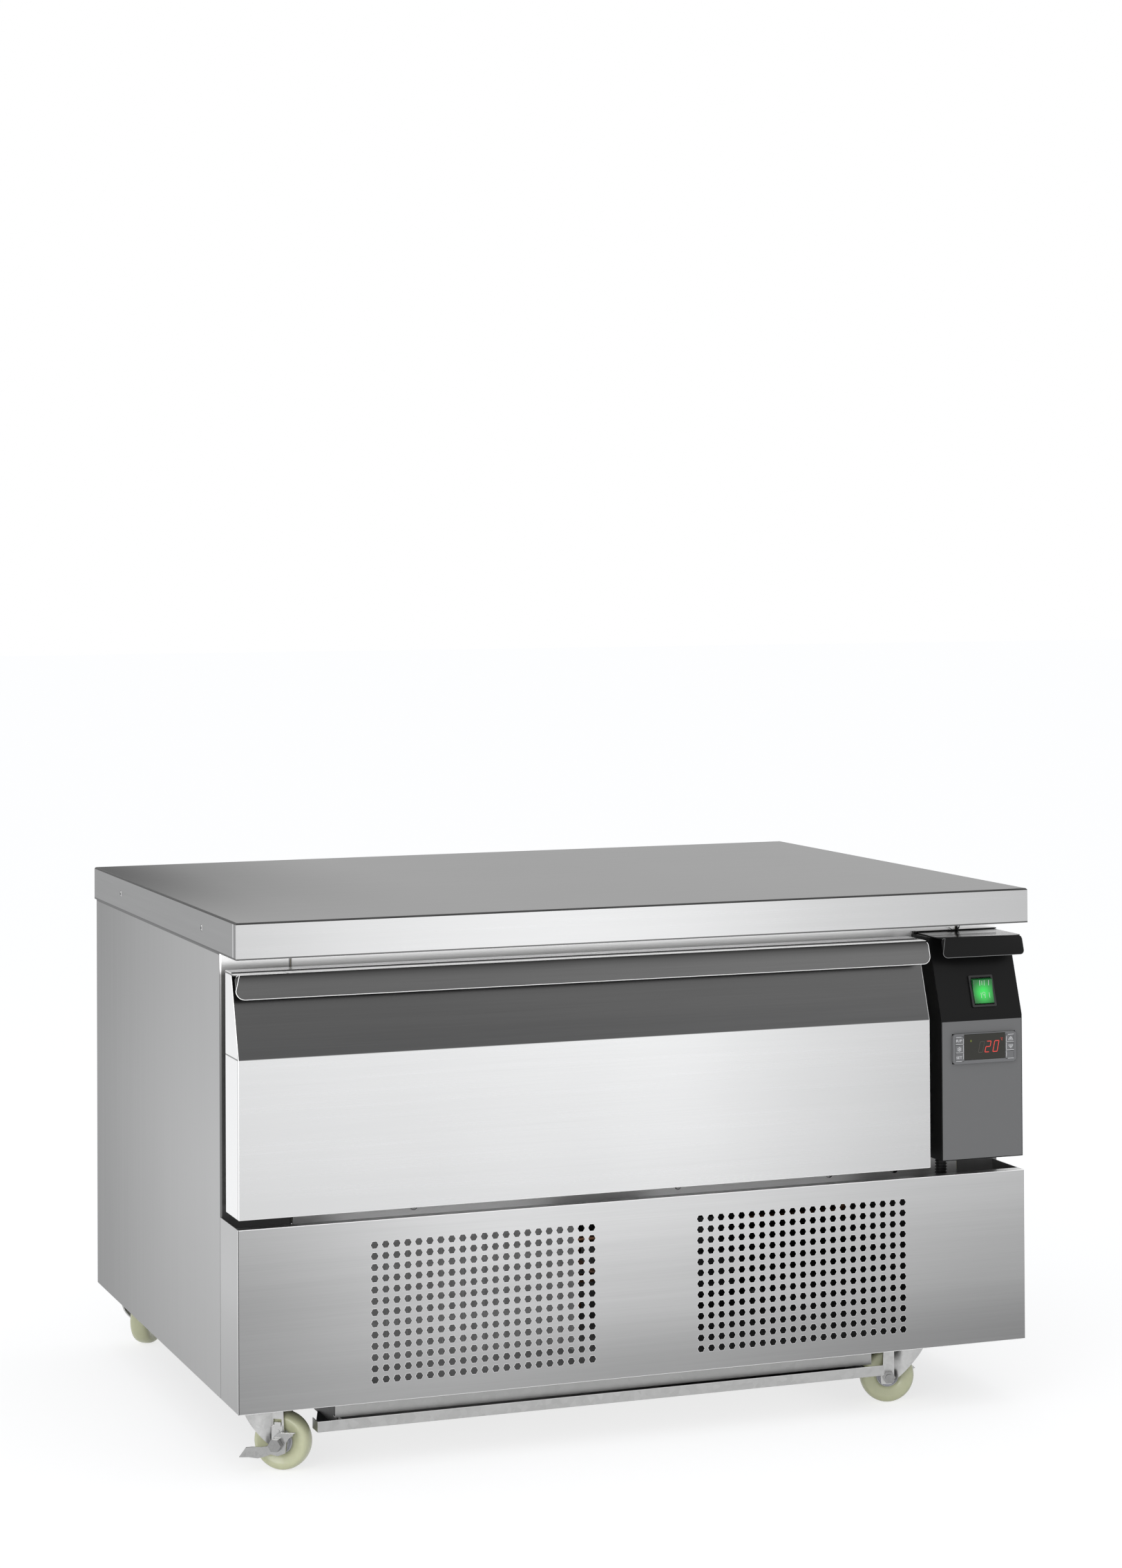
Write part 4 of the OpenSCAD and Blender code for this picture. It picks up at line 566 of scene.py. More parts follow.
class Form:
    """Collects closed shapes in one mesh."""

    def __init__(self) -> None:
        """Starts with an empty mesh."""
        self.mesh = bmesh.new()

    def slab(self, low: Point, high: Point) -> None:
        """Adds a block between two opposite corners."""
        size = [b - a for a, b in zip(low, high)]
        middle = Vector([(a + b) / 2 for a, b in zip(low, high)])
        made = bmesh.ops.create_cube(self.mesh, size=1.0)
        for v in made["verts"]:
            v.co = Vector([c * s for c, s in zip(v.co, size)]) + middle

    def prism(self, outline: Sequence[Point], depth: float, place: Matrix) -> None:
        """Adds an outline drawn in a plane and extruded.

        Args:
            outline: corners (u, v), counter-clockwise.
            depth: length of the extrusion along the plane's normal.
            place: from the plane's (u, v, normal) to the frame.
        """
        base = [self.mesh.verts.new(place @ Vector((u, v, 0.0))) for u, v in outline]
        top = [self.mesh.verts.new(place @ Vector((u, v, depth))) for u, v in outline]
        self.mesh.faces.new(list(reversed(base)))
        self.mesh.faces.new(top)
        for i, vert in enumerate(base):
            j = (i + 1) % len(base)
            self.mesh.faces.new((vert, base[j], top[j], top[i]))

    def ring(self, place: Matrix, radius: float, height: float, segments: int) -> list[bmesh.types.BMVert]:
        """Corners of a circle about the place's third axis, or its middle alone for radius 0."""
        if radius < 1e-7:
            return [self.mesh.verts.new(place @ Vector((0.0, 0.0, height)))]
        turns = [math.tau * i / segments for i in range(segments)]
        spots = [Vector((radius * math.cos(turn), radius * math.sin(turn), height)) for turn in turns]
        return [self.mesh.verts.new(place @ spot) for spot in spots]

    def lathe(self, profile: Sequence[Point], place: Matrix, segments: int) -> None:
        """Adds a profile (radius, height) turned about the place's third axis.

        Args:
            profile: points from one end of the axis to the other, with radius 0 where it closes.
            place: from the turned shape's own frame to the unit's frame.
            segments: number of steps round.
        """
        rings = [self.ring(place, radius, height, segments) for radius, height in profile]
        for low, high in zip(rings, rings[1:]):
            for i in range(segments):
                j = (i + 1) % segments
                corners = [low[i % len(low)], low[j % len(low)], high[j % len(high)], high[i % len(high)]]
                unique = list(dict.fromkeys(corners))
                if len(unique) > 2:
                    self.mesh.faces.new(unique)

    def tube(self, path: Sequence[Point], radius: float, segments: int = 10) -> None:
        """Adds a round bar along a path."""
        points = [Vector(p) for p in path]
        rings = []
        side = Vector((0.0, 0.0, 1.0))
        turns = [math.tau * k / segments for k in range(segments)]
        for i, point in enumerate(points):
            ahead = (points[min(i + 1, len(points) - 1)] - points[max(i - 1, 0)]).normalized()
            if abs(ahead.dot(side)) > 0.95:
                side = Vector((0.0, 1.0, 0.0))
            across = ahead.cross(side).normalized()
            side = across.cross(ahead).normalized()
            spots = [point + radius * (math.cos(turn) * across + math.sin(turn) * side) for turn in turns]
            rings.append([self.mesh.verts.new(spot) for spot in spots])
        for low, high in zip(rings, rings[1:]):
            for k in range(segments):
                j = (k + 1) % segments
                self.mesh.faces.new((low[k], low[j], high[j], high[k]))
        self.mesh.faces.new(list(reversed(rings[0])))
        self.mesh.faces.new(rings[-1])

    def strokes(self, lines: Sequence[Sequence[Point]], width: float, depth: float, place: Matrix) -> None:
        """Adds flat bars along lines drawn in a plane.

        Args:
            lines: each a list of corners (u, v).
            width: width of the bars.
            depth: their thickness.
            place: from the plane's (u, v, normal) to the frame.
        """
        for line in lines:
            for start, end in zip(line, line[1:]):
                a, b = Vector(start[:2]), Vector(end[:2])
                along = (b - a).normalized() * width / 2
                out = Vector((-along.y, along.x))
                a, b = a - along, b + along
                self.prism([a - out, b - out, b + out, a + out], depth, place)

    def lettering(self, text: str, low: Point, high: Point, depth: float, place: Matrix) -> None:
        """Adds raised characters that fill a rectangle of a plane.

        Args:
            text: the characters.
            low: lower left corner (u, v).
            high: upper right corner (u, v).
            depth: how far they stand out.
            place: from the plane's (u, v, normal) to the frame.
        """
        curve = bpy.data.curves.new("letters", "FONT")
        curve.body = text
        curve.extrude = 0.5
        curve.resolution_u = 3
        thing = placed("letters", curve)
        bpy.context.view_layer.update()
        data = bpy.data.meshes.new_from_object(thing)
        spans = [[v.co[i] for v in data.vertices] for i in range(2)]
        for v in data.vertices:
            u, w = (
                lo + (v.co[i] - min(span)) / (max(span) - min(span)) * (hi - lo)
                for i, (span, lo, hi) in enumerate(zip(spans, low, high))
            )
            v.co = place @ Vector((u, w, (v.co.z + 0.5) * depth))
        self.mesh.from_mesh(data)
        bpy.data.objects.remove(thing)
        bpy.data.curves.remove(curve)
        bpy.data.meshes.remove(data)

    def closed_mesh(self, name: str) -> bpy.types.Mesh:
        """Turns the shapes into a mesh whose faces point outward."""
        bmesh.ops.remove_doubles(self.mesh, verts=self.mesh.verts, dist=1e-7)
        bmesh.ops.recalc_face_normals(self.mesh, faces=self.mesh.faces)
        data = bpy.data.meshes.new(name)
        self.mesh.to_mesh(data)
        self.mesh.free()
        return data

    def loose(self) -> bpy.types.Object:
        """An unattached object of the shapes, for repeats."""
        return placed("loose_shape", self.closed_mesh("loose_shape"))

    def done(self, name: str, material: str, body: str, soften: float = 0.0) -> bpy.types.Object:
        """Turns the shapes into a piece that rides on a body.

        Args:
            name: name of the piece.
            material: name of its finish.
            body: the body that it moves with.
            soften: radius of its rounded edges.

        Returns:
            The piece.
        """
        piece = placed(name, self.closed_mesh(name))
        piece.data.materials.append(finish(material))
        if soften > 0.0:
            round_edges(piece, soften)
        smooth(piece)
        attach(piece, body)
        LOG.info("made %s", name)
        return piece


def settle(piece: bpy.types.Object) -> None:
    """Bakes a piece's modifiers into a plain mesh and removes them."""
    bpy.context.view_layer.update()
    graph = bpy.context.evaluated_depsgraph_get()
    data = bpy.data.meshes.new_from_object(piece.evaluated_get(graph))
    old = piece.data
    piece.modifiers.clear()
    piece.data = data
    if old.users == 0:
        bpy.data.meshes.remove(old)


def round_edges(piece: bpy.types.Object, width: float, segments: int = 2, by_weight: bool = False) -> None:
    """Rounds a piece's sharp edges."""
    bevel = piece.modifiers.new("rounding", "BEVEL")
    bevel.width = width
    bevel.segments = segments
    bevel.limit_method = "WEIGHT" if by_weight else "ANGLE"
    bevel.angle_limit = math.radians(32)
    bevel.use_clamp_overlap = True
    bevel.miter_outer = "MITER_ARC"
    settle(piece)


def smooth(piece: bpy.types.Object) -> None:
    """Shades a piece smooth but for its sharp edges."""
    piece.data.shade_smooth()
    piece.data.set_sharp_from_angle(angle=math.radians(34.0))


def flatten(piece: bpy.types.Object) -> None:
    """Lets the large faces of a smooth piece keep their own normals, so that only its roundings turn."""
    weighted = piece.modifiers.new("flat_faces", "WEIGHTED_NORMAL")
    weighted.keep_sharp = True
    weighted.weight = 100
    settle(piece)


def softened(
    node: str,
    material: str,
    width: float,
    segments: int = 2,
    pick: Optional[Callable[[Vector], bool]] = None,
    move: Optional[Callable[[Vector], Vector]] = None,
) -> bpy.types.Object:
    """A copy of a CAD node with rounded edges, which then stands for it.

    Args:
        node: name of the CAD node.
        material: finish of the copy.
        width: radius of the rounding.
        segments: steps in the rounding.
        pick: tells from an edge's middle whether it is rounded; None rounds all sharp ones.
        move: tells where a corner goes before the rounding; None leaves all where they are.

    Returns:
        The copy.
    """
    source = frame["nodes"][node]
    data = bpy.data.meshes.new(node + "_dressed")
    work = bmesh.new()
    work.from_mesh(source.data)
    bmesh.ops.remove_doubles(work, verts=work.verts, dist=1e-6)
    bmesh.ops.dissolve_limit(
        work, angle_limit=math.radians(0.4), verts=work.verts, edges=work.edges, delimit={"NORMAL"}
    )
    if move is not None:
        for vert in work.verts:
            vert.co = move(vert.co)
        bmesh.ops.remove_doubles(work, verts=work.verts, dist=1e-6)
    if pick is not None:
        kind = "bevel_weight_edge"
        layer = work.edges.layers.float.get(kind) or work.edges.layers.float.new(kind)
        for edge in work.edges:
            middle = (edge.verts[0].co + edge.verts[1].co) / 2
            sharp = len(edge.link_faces) == 2 and edge.calc_face_angle(0.0) > math.radians(10)
            edge[layer] = 1.0 if sharp and pick(middle) else 0.0
    work.to_mesh(data)
    work.free()
    piece = placed(node + "_dressed", data)
    data.materials.clear()
    data.materials.append(finish(material))
    round_edges(piece, width, segments, pick is not None)
    smooth(piece)
    flatten(piece)
    body = source.get("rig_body")
    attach(piece, body)
    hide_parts(node)
    LOG.info("dressed %s", node)
    return piece


def paint(piece: bpy.types.Object, choose: Callable[[Face], Optional[str]]) -> None:
    """Gives some faces of a piece another finish.

    Args:
        piece: the piece.
        choose: tells a face's finish, or None where it keeps its own.
    """
    places: dict[str, int] = {}
    for face in piece.data.polygons:
        name = choose(face)
        if name is None:
            continue
        if name not in places:
            places[name] = len(piece.data.materials)
            piece.data.materials.append(finish(name))
        face.material_index = places[name]


def coat(material: str, *nodes: str) -> None:
    """Gives CAD nodes that stay a better material."""
    for node in nodes:
        thing = frame["nodes"][node]
        if not thing.material_slots:
            thing.data.materials.append(None)
        for slot in thing.material_slots:
            slot.material = finish(material)


def upright(x: float, y: float, z: float) -> Matrix:
    """A place whose own (u, v, normal) are right, up and towards the viewer, at a point of the front."""
    return Matrix(((1, 0, 0, x), (0, 0, -1, y), (0, 1, 0, z), (0, 0, 0, 1)))


# Repeats


@dataclass
class Repeat:
    """Sets copies of a small shape on points, through Geometry Nodes."""

    name: str
    material: str
    body: str

    def tree(self) -> bpy.types.NodeTree:
        """A tree that puts the object of its second input on the points of its first."""
        tree = bpy.data.node_groups.new(self.name + "_tree", "GeometryNodeTree")
        for name, way, kind in (
            ("Geometry", "INPUT", "Geometry"),
            ("Shape", "INPUT", "Object"),
            ("Geometry", "OUTPUT", "Geometry"),
        ):
            tree.interface.new_socket(name, in_out=way, socket_type="NodeSocket" + kind)
        entry = add_node(tree, "NodeGroupInput").outputs
        shape = add_node(tree, "GeometryNodeObjectInfo", {"Object": entry["Shape"]}).outputs["Geometry"]
        inputs = {"Points": entry["Geometry"], "Instance": shape}
        copies = add_node(tree, "GeometryNodeInstanceOnPoints", inputs).outputs["Instances"]
        real = add_node(tree, "GeometryNodeRealizeInstances", {"Geometry": copies}).outputs["Geometry"]
        inputs = {"Geometry": real, "Material": finish(self.material)}
        coated = add_node(tree, "GeometryNodeSetMaterial", inputs).outputs["Geometry"]
        add_node(tree, "NodeGroupOutput", {"Geometry": coated})
        return tree

    def build(self, shape: bpy.types.Object, points: Sequence[Point]) -> bpy.types.Object:
        """Puts the shape on each point.

        Args:
            shape: the shape, drawn about the origin; it is removed afterwards.
            points: where the copies stand.

        Returns:
            One plain mesh of all copies.
        """
        data = bpy.data.meshes.new(self.name)
        data.from_pydata([tuple(p) for p in points], [], [])
        piece = placed(self.name, data)
        modifier = piece.modifiers.new("repeat", "NODES")
        modifier.node_group = self.tree()
        shape_in = modifier.node_group.interface.items_tree["Shape"]
        modifier[shape_in.identifier] = shape
        settle(piece)
        bpy.data.objects.remove(shape)
        smooth(piece)
        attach(piece, self.body)
        LOG.info("repeated %s %d times", self.name, len(points))
        return piece


def screw_shape(radius: float, proud: float, turn: Matrix) -> bpy.types.Object:
    """A domed screw head, or for radius 0 the dark cross that stands for the shade in its recess.

    Args:
        radius: radius of the head.
        proud: how far its rim stands out of the surface.
        turn: turns the third axis to the way the head faces.

    Returns:
        A loose shape about the origin.
    """
    form = Form()
    if radius > 0.0:
        dome = 0.22 * radius
        rim = [(radius, proud - 0.5 * MM), (radius, proud), (0.9 * radius, proud + 0.4 * dome)]
        crown = [(0.5 * radius, proud + 0.85 * dome), (0.0, proud + dome)]
        form.lathe([(0.0, proud - 0.5 * MM), *rim, *crown], turn, 18)
    else:
        arm, half = 1.5 * MM, 0.32 * MM
        for u, v in ((arm, half), (half, arm)):
            outline = [(-u, -v), (u, -v), (u, v), (-u, v)]
            form.prism(outline, 0.9 * MM, turn @ Matrix.Translation((0, 0, proud)))
    return form.loose()


def screws(
    pattern: str, turn: Matrix, points: Sequence[Point], radius: float, head: float, cross: float
) -> None:
    """Sets screw heads on points of the cabinet, with dark crosses painted as the shade in their recesses.

    Args:
        pattern: name of the pieces, with {} in the place of their finish.
        turn: turns the third axis to the way the heads face.
        points: where the screws are.
        radius: radius of the heads.
        head: how far the rims of the heads stand out.
        cross: how far the dark crosses, painted shade in the recesses, start from the surface.
    """
    for material, size, proud in (("screw_steel", radius, head), ("mark_dark", 0.0, cross)):
        Repeat(pattern.format(material), material, "cabinet").build(screw_shape(size, proud, turn), points)


# Studio


@dataclass
class Studio:
    """Camera, light, floor and background."""

    camera_place: tuple[float, float, float] = (-1.2948, -3.6403, 0.9315)
    azimuth: float = -0.363231
    pitch: float = -0.0158264
    roll: float = -0.0052093
    focal: float = 4830.19
    long_side: float = 2270.0
    short_side: float = 1624.0
    centre: tuple[float, float] = (885.506, 734.918)
    sensor: float = 36.0
    floor_reach: float = 30.0

    def build(self) -> None:
        """Makes everything round the object."""
        self.camera()
        self.world()
        self.floor()
        self.lamps()

    def camera(self) -> None:
        """The photograph's camera; its focal length and centre are in the photograph's pixels."""
        a, e, r = self.azimuth, self.pitch, self.roll
        back = Vector((math.sin(a) * math.cos(e), -math.cos(a) * math.cos(e), math.sin(e)))
        right = (-back).cross(Vector((0, 0, 1))).normalized()
        up = right.cross(-back)
        right, up = math.cos(r) * right + math.sin(r) * up, -math.sin(r) * right + math.cos(r) * up
        data = bpy.data.cameras.new("camera")
        data.sensor_fit = "AUTO"
        data.sensor_width = self.sensor
        data.lens = self.focal / self.long_side * self.sensor
        data.shift_x = (self.short_side / 2 - self.centre[0]) / self.long_side
        data.shift_y = (self.centre[1] - self.long_side / 2) / self.long_side
        data.clip_end = 60.0
        camera = placed("camera", data)
        turn = Matrix((right, up, back)).transposed().to_4x4()
        camera.matrix_world = Matrix.Translation(self.camera_place) @ turn
        bpy.context.scene.camera = camera

    def world(self) -> None:
        """An even pale room, pure white behind the object."""
        world = bpy.data.worlds.new("room")
        bpy.context.scene.world = world
        world.use_nodes = True
        tree = world.node_tree
        tree.nodes.clear()
        rays = add_node(tree, "ShaderNodeLightPath").outputs
        clear = Value(tree, rays["Is Camera Ray"])
        for kind in ("Is Glossy Ray", "Is Transmission Ray"):
            clear = clear.maths("MAXIMUM", clear, Value(tree, rays[kind]))
        white = add_node(tree, "ShaderNodeBackground", {"Color": WHITE, "Strength": 1.0}).outputs[0]
        pale = {"Color": (0.95, 0.97, 1.0), "Strength": 0.75}
        soft = add_node(tree, "ShaderNodeBackground", pale).outputs[0]
        mixed = add_node(tree, "ShaderNodeMixShader", {0: clear, 1: soft, 2: white})
        add_node(tree, "ShaderNodeOutputWorld", {0: mixed.outputs[0]})
        bpy.context.scene.view_settings.view_transform = "Standard"

    def floor(self) -> None:
        """A plain pale floor that keeps the object's shadow and is near white beside it."""
        material = bpy.data.materials.new("pale_floor")
        material.use_nodes = True
        tree = material.node_tree
        tree.nodes.clear()
        rays = add_node(tree, "ShaderNodeLightPath").outputs
        seen = Value(tree, rays["Is Camera Ray"])
        share = seen.maths("MAXIMUM", seen, Value(tree, rays["Is Glossy Ray"])) * 0.62
        lift = seen.maths("MULTIPLY_ADD", seen, 0.17, 1.0)
        matte = add_node(tree, "ShaderNodeBsdfDiffuse", {"Color": (0.96, 0.96, 0.96)}).outputs[0]
        glow = add_node(tree, "ShaderNodeEmission", {"Color": WHITE, "Strength": lift}).outputs[0]
        mixed = add_node(tree, "ShaderNodeMixShader", {0: share, 1: matte, 2: glow})
        add_node(tree, "ShaderNodeOutputMaterial", {"Surface": mixed.outputs[0]})
        data = bpy.data.meshes.new("floor")
        reach = self.floor_reach
        corners = [(x * reach, y * reach, 0.0) for x, y in ((-1, -1), (1, -1), (1, 1), (-1, 1))]
        data.from_pydata(corners, [], [(0, 1, 2, 3)])
        data.materials.append(material)
        floor = placed("floor", data)

    def lamp(self, name: str, place: Point, aim: Point, size: tuple[float, float], power: float) -> None:
        """One soft rectangular lamp.

        Args:
            name: name of the lamp.
            place: its middle.
            aim: the point that it faces.
            size: its width and height.
            power: its power in watts.
        """
        data = bpy.data.lights.new(name, "AREA")
        data.shape = "RECTANGLE"
        data.size, data.size_y = size
        data.energy = power
        thing = placed(name, data)
        thing.location = place
        thing.rotation_euler = (Vector(aim) - Vector(place)).to_track_quat("-Z", "Y").to_euler()

    def lamps(self) -> None:
        """A broad key lamp from the left front, a wide one from above and a low one that fills the gaps."""
        self.lamp("key_lamp", (-2.2, -2.6, 2.6), (0.0, 0.0, 0.3), (1.8, 1.8), 14.0)
        self.lamp("top_lamp", (0.3, -0.2, 3.2), (0.0, 0.0, 0.4), (2.4, 2.4), 8.0)
        self.lamp("fill_lamp", (-3.0, -2.9, 0.75), (0.0, -0.3, 0.40), (2.2, 1.2), 26.0)


# Sub-assemblies


@dataclass
class Worktop:
    """The folded steel top with its countersunk edge screws."""

    softness: float = 0.9 * MM
    screw_r: float = 3.4 * MM
    screw_ys: tuple[float, float] = (-0.195, 0.195)

    def build(self) -> None:
        """Makes the top and its screws, with painted shade on its sloping bevels and painted highlights on
        its corner bevels.
        """
        top = softened("worktop", "worktop_steel", self.softness, 3)

        def choose(face: Face) -> Optional[str]:
            x, y, z = (abs(c) for c in face.normal)
            if z > 0.97:
                return None
            # Painted shade on the bevels between the top and its edges; painted highlight on the corner
            # bevels.
            if z > 0.2:
                return "seam_steel"
            if x > 0.97:
                return "worktop_side"
            return "worktop_edge" if y > 0.97 else "bright_steel"

        paint(top, choose)
        coat("board", "worktop_core")
        low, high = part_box("worktop")
        z = (low.z + high.z) / 2
        for side, x, turn in (("left", low.x, -90.0), ("right", high.x, 90.0)):
            points = [(x, y, z) for y in self.screw_ys]
            screws("edge_{}_" + side, turned(turn, "Y"), points, self.screw_r, -0.25 * MM, -0.22 * MM)


@dataclass
class Cabinet:
    """Side panels, frames and the hidden shell."""

    rail_screw_r: float = 4.0 * MM
    rail_screw_xs: tuple[float, ...] = (-0.240, 0.060, 0.240, 0.320)
    rail_screw_z: float = 0.252
    rear_screw_r: float = 3.2 * MM
    rear_xs: tuple[float, ...] = (-0.435, -0.145, 0.145, 0.435)
    grille_screw_z: float = 0.094
    hem: float = 19.5 * MM
    back_y: float = 316.0 * MM
    ribs: int = 24

    def build(self) -> None:
        """Dresses the shell; the back hems of the side panels go as far back as in the photograph."""

        def deepen(spot: Vector) -> Vector:
            return Vector((spot.x, spot.y + (self.hem if spot.y > self.back_y else 0.0), spot.z))

        for side in SIDES:
            panel = softened(f"{side}_side_panel", "side_steel", 0.45 * MM, move=deepen)
            # The panels' front flanges take the stile's painted shade below the lip and painted light above
            # it.
            paint(panel, lambda face: "stile_steel" if face.normal.y < -0.45 else None)
        softened("front_frame", "frame_steel", 0.2 * MM)
        coat("galvanised", "rear_panel", "rear_grille", "partition_plate")
        # The base plate is painted dark as shade, with a faint painted glow under the left field of holes.
        coat("base_painted_shade_glow", "base_plate")
        coat("black_plastic", "cable_gland")
        coat("foam", "foam_insulation")
        coat("liner_steel", "inner_liner")
        coat("white_plastic", "drain_pipe")
        coat("screw_steel", "screws")
        front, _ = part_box("front_frame")
        points = [(x, front.y, self.rail_screw_z) for x in self.rail_screw_xs]
        screws("rail_{}", turned(90.0, "X"), points, self.rail_screw_r, 1.6 * MM, 1.75 * MM)
        low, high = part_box("rear_panel")
        rows = (low.z + 0.012, high.z - 0.014, self.grille_screw_z)
        points = [(x, high.y, z) for x in self.rear_xs for z in rows]
        screws("rear_{}", turned(-90.0, "X"), points, self.rear_screw_r, 0.5 * MM, 0.55 * MM)
        self.gland_ribs()

    def gland_ribs(self) -> None:
        """Grip ribs round the cable gland's cap."""
        low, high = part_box("cable_gland")
        cap = Matrix.Translation(((low.x + high.x) / 2, high.y - 17.2 * MM, (low.z + high.z) / 2))
        outline = [(u * MM, v * MM) for u, v in ((-0.6, 10.8), (0.6, 10.8), (0.3, 11.5), (-0.3, 11.5))]
        form = Form()
        for step in range(self.ribs):
            form.prism(outline, 8.0 * MM, cap @ turned(360.0 * step / self.ribs, "Y") @ turned(90.0, "X"))
        form.done("gland_ribs", "black_plastic", "cabinet")


@dataclass
class LowerFront:
    """The perforated panel with its frame."""

    middles: tuple[float, float] = (-0.186, 0.1755)
    columns: int = 21
    rows: int = 13
    pitch_x: float = 11.9 * MM
    pitch_z: float = 11.5 * MM
    lowest_z: float = 92.0 * MM
    hole_r: float = 4.15 * MM
    rim: float = 0.26 * MM
    wall_area: float = 12.0 * MM * MM

    def build(self) -> None:
        """Dresses the panel, rounds its outer bends and rims its holes."""
        low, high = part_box("lower_front_panel")
        reach = 1.0 * MM

        def outer(middle: Vector) -> bool:
            rim = min(middle.x - low.x, high.x - middle.x, middle.z - low.z, high.z - middle.z) < reach
            return rim and middle.y < low.y + 0.2 * MM

        def choose(face: Face) -> Optional[str]:
            x, y, _ = face.normal
            # Painted shade on the hole walls and the side bevels, painted highlight on the top and bottom
            # bevels.
            if abs(y) < 0.3 and face.area < self.wall_area:
                return "seam_steel"
            if abs(x) > 0.97:
                return "return_steel"
            if y < -0.2 and 0.2 < abs(x):
                return "seam_steel"
            return "bright_steel" if y < -0.2 and y > -0.97 else None

        paint(softened("lower_front_panel", "panel_steel", 0.6 * MM, 2, outer), choose)
        panel_frame = softened("lower_panel_frame", "panel_steel", 0.3 * MM)
        paint(panel_frame, lambda face: "return_steel" if abs(face.normal.x) > 0.97 else None)
        for side, middle_x in zip(SIDES, self.middles):
            self.hole_rims(side, middle_x, low.y)

    def hole_rims(self, side: str, middle_x: float, front: float) -> None:
        """The pressed rims of one field of hexagonal holes, painted bright as highlights.

        Args:
            side: the side of the field.
            middle_x: the middle of the field.
            front: the panel's front surface.
        """
        form = Form()
        inner, outer = self.hole_r - 0.02 * MM, self.hole_r + self.rim
        section = [(inner, -0.15 * MM), (inner, 0.10 * MM), (outer, 0.03 * MM), (outer, -0.15 * MM)]
        form.lathe([*section, section[0]], turned(90.0, "X"), 6)
        first_x = middle_x - (self.columns - 1) / 2 * self.pitch_x
        xs = [first_x + i * self.pitch_x for i in range(self.columns)]
        points = [(x, front, self.lowest_z + j * self.pitch_z) for x in xs for j in range(self.rows)]
        Repeat(f"hole_rims_{side}", "bright_steel", "cabinet").build(form.loose(), points)


@dataclass
class Lip:
    """A handle lip: a strip that leans as the slope does, a flat top, and a hemmed edge."""

    left: float
    right: float
    low_z: float
    high_z: float
    front_y: float
    back_y: float
    low_corner: float = 9.0 * MM
    high_corner: float = 5.0 * MM
    sheet: float = 1.2 * MM
    lean: float = math.atan(SLOPE_RATE)

    def corner(self, middle: Point, radius: float, start: float) -> list[Point]:
        """A quarter turn about a point, counter-clockwise from an angle."""
        turns = [start + math.pi / 2 * step / 6 for step in range(7)]
        return [(middle[0] + radius * math.cos(t), middle[1] + radius * math.sin(t)) for t in turns]

    def place(self, depth: float) -> Matrix:
        """The strip's plane, moved inward: u to the right, v up the strip, and outward."""
        foot = Matrix.Translation((0.0, self.front_y, self.low_z))
        lean = Matrix.Rotation(math.pi / 2 - self.lean, 4, "X")
        return foot @ lean @ Matrix.Translation((0.0, 0.0, -depth))

    def build(self, name: str, strip: str, top: str, hem: str, body: str, hem_r: float) -> bpy.types.Object:
        """Makes the lip.

        Args:
            name: name of the lip; its hem's name ends in _hem.
            strip: finish of the strip.
            top: finish of the flat top.
            hem: finish of the hem.
            body: the body that both move with.
            hem_r: radius of the hem.

        Returns:
            The lip without its hem.
        """
        height = (self.high_z - self.low_z) / math.cos(self.lean)
        low, high = self.low_corner, self.high_corner
        quarters = (
            self.corner((self.left + low, low), low, math.pi),
            self.corner((self.right - low, low), low, 1.5 * math.pi),
            self.corner((self.right - high, height - high), high, 0.0),
            self.corner((self.left + high, height - high), high, 0.5 * math.pi),
        )
        form = Form()
        form.prism([spot for quarter in quarters for spot in quarter], self.sheet, self.place(self.sheet))
        fold = self.front_y + (self.high_z - self.low_z) * SLOPE_RATE
        plan = [(self.right, self.back_y), (self.left, self.back_y)]
        plan += self.corner((self.left + high, fold + high), high, math.pi)
        plan += self.corner((self.right - high, fold + high), high, 1.5 * math.pi)
        form.prism(plan, self.sheet, Matrix.Translation((0.0, 0.0, self.high_z - self.sheet)))
        piece = form.done(name, strip, body, 0.25 * MM)
        paint(piece, lambda face: top if face.normal.z > 0.9 else None)
        edge = [*reversed(quarters[3]), *quarters[0], *quarters[1], *quarters[2]][3:-3]
        place = self.place(hem_r * 0.7)
        form = Form()
        form.tube([place @ Vector((u, v, 0.0)) for u, v in edge], hem_r, 8)
        form.done(name + "_hem", hem, body)
        return piece


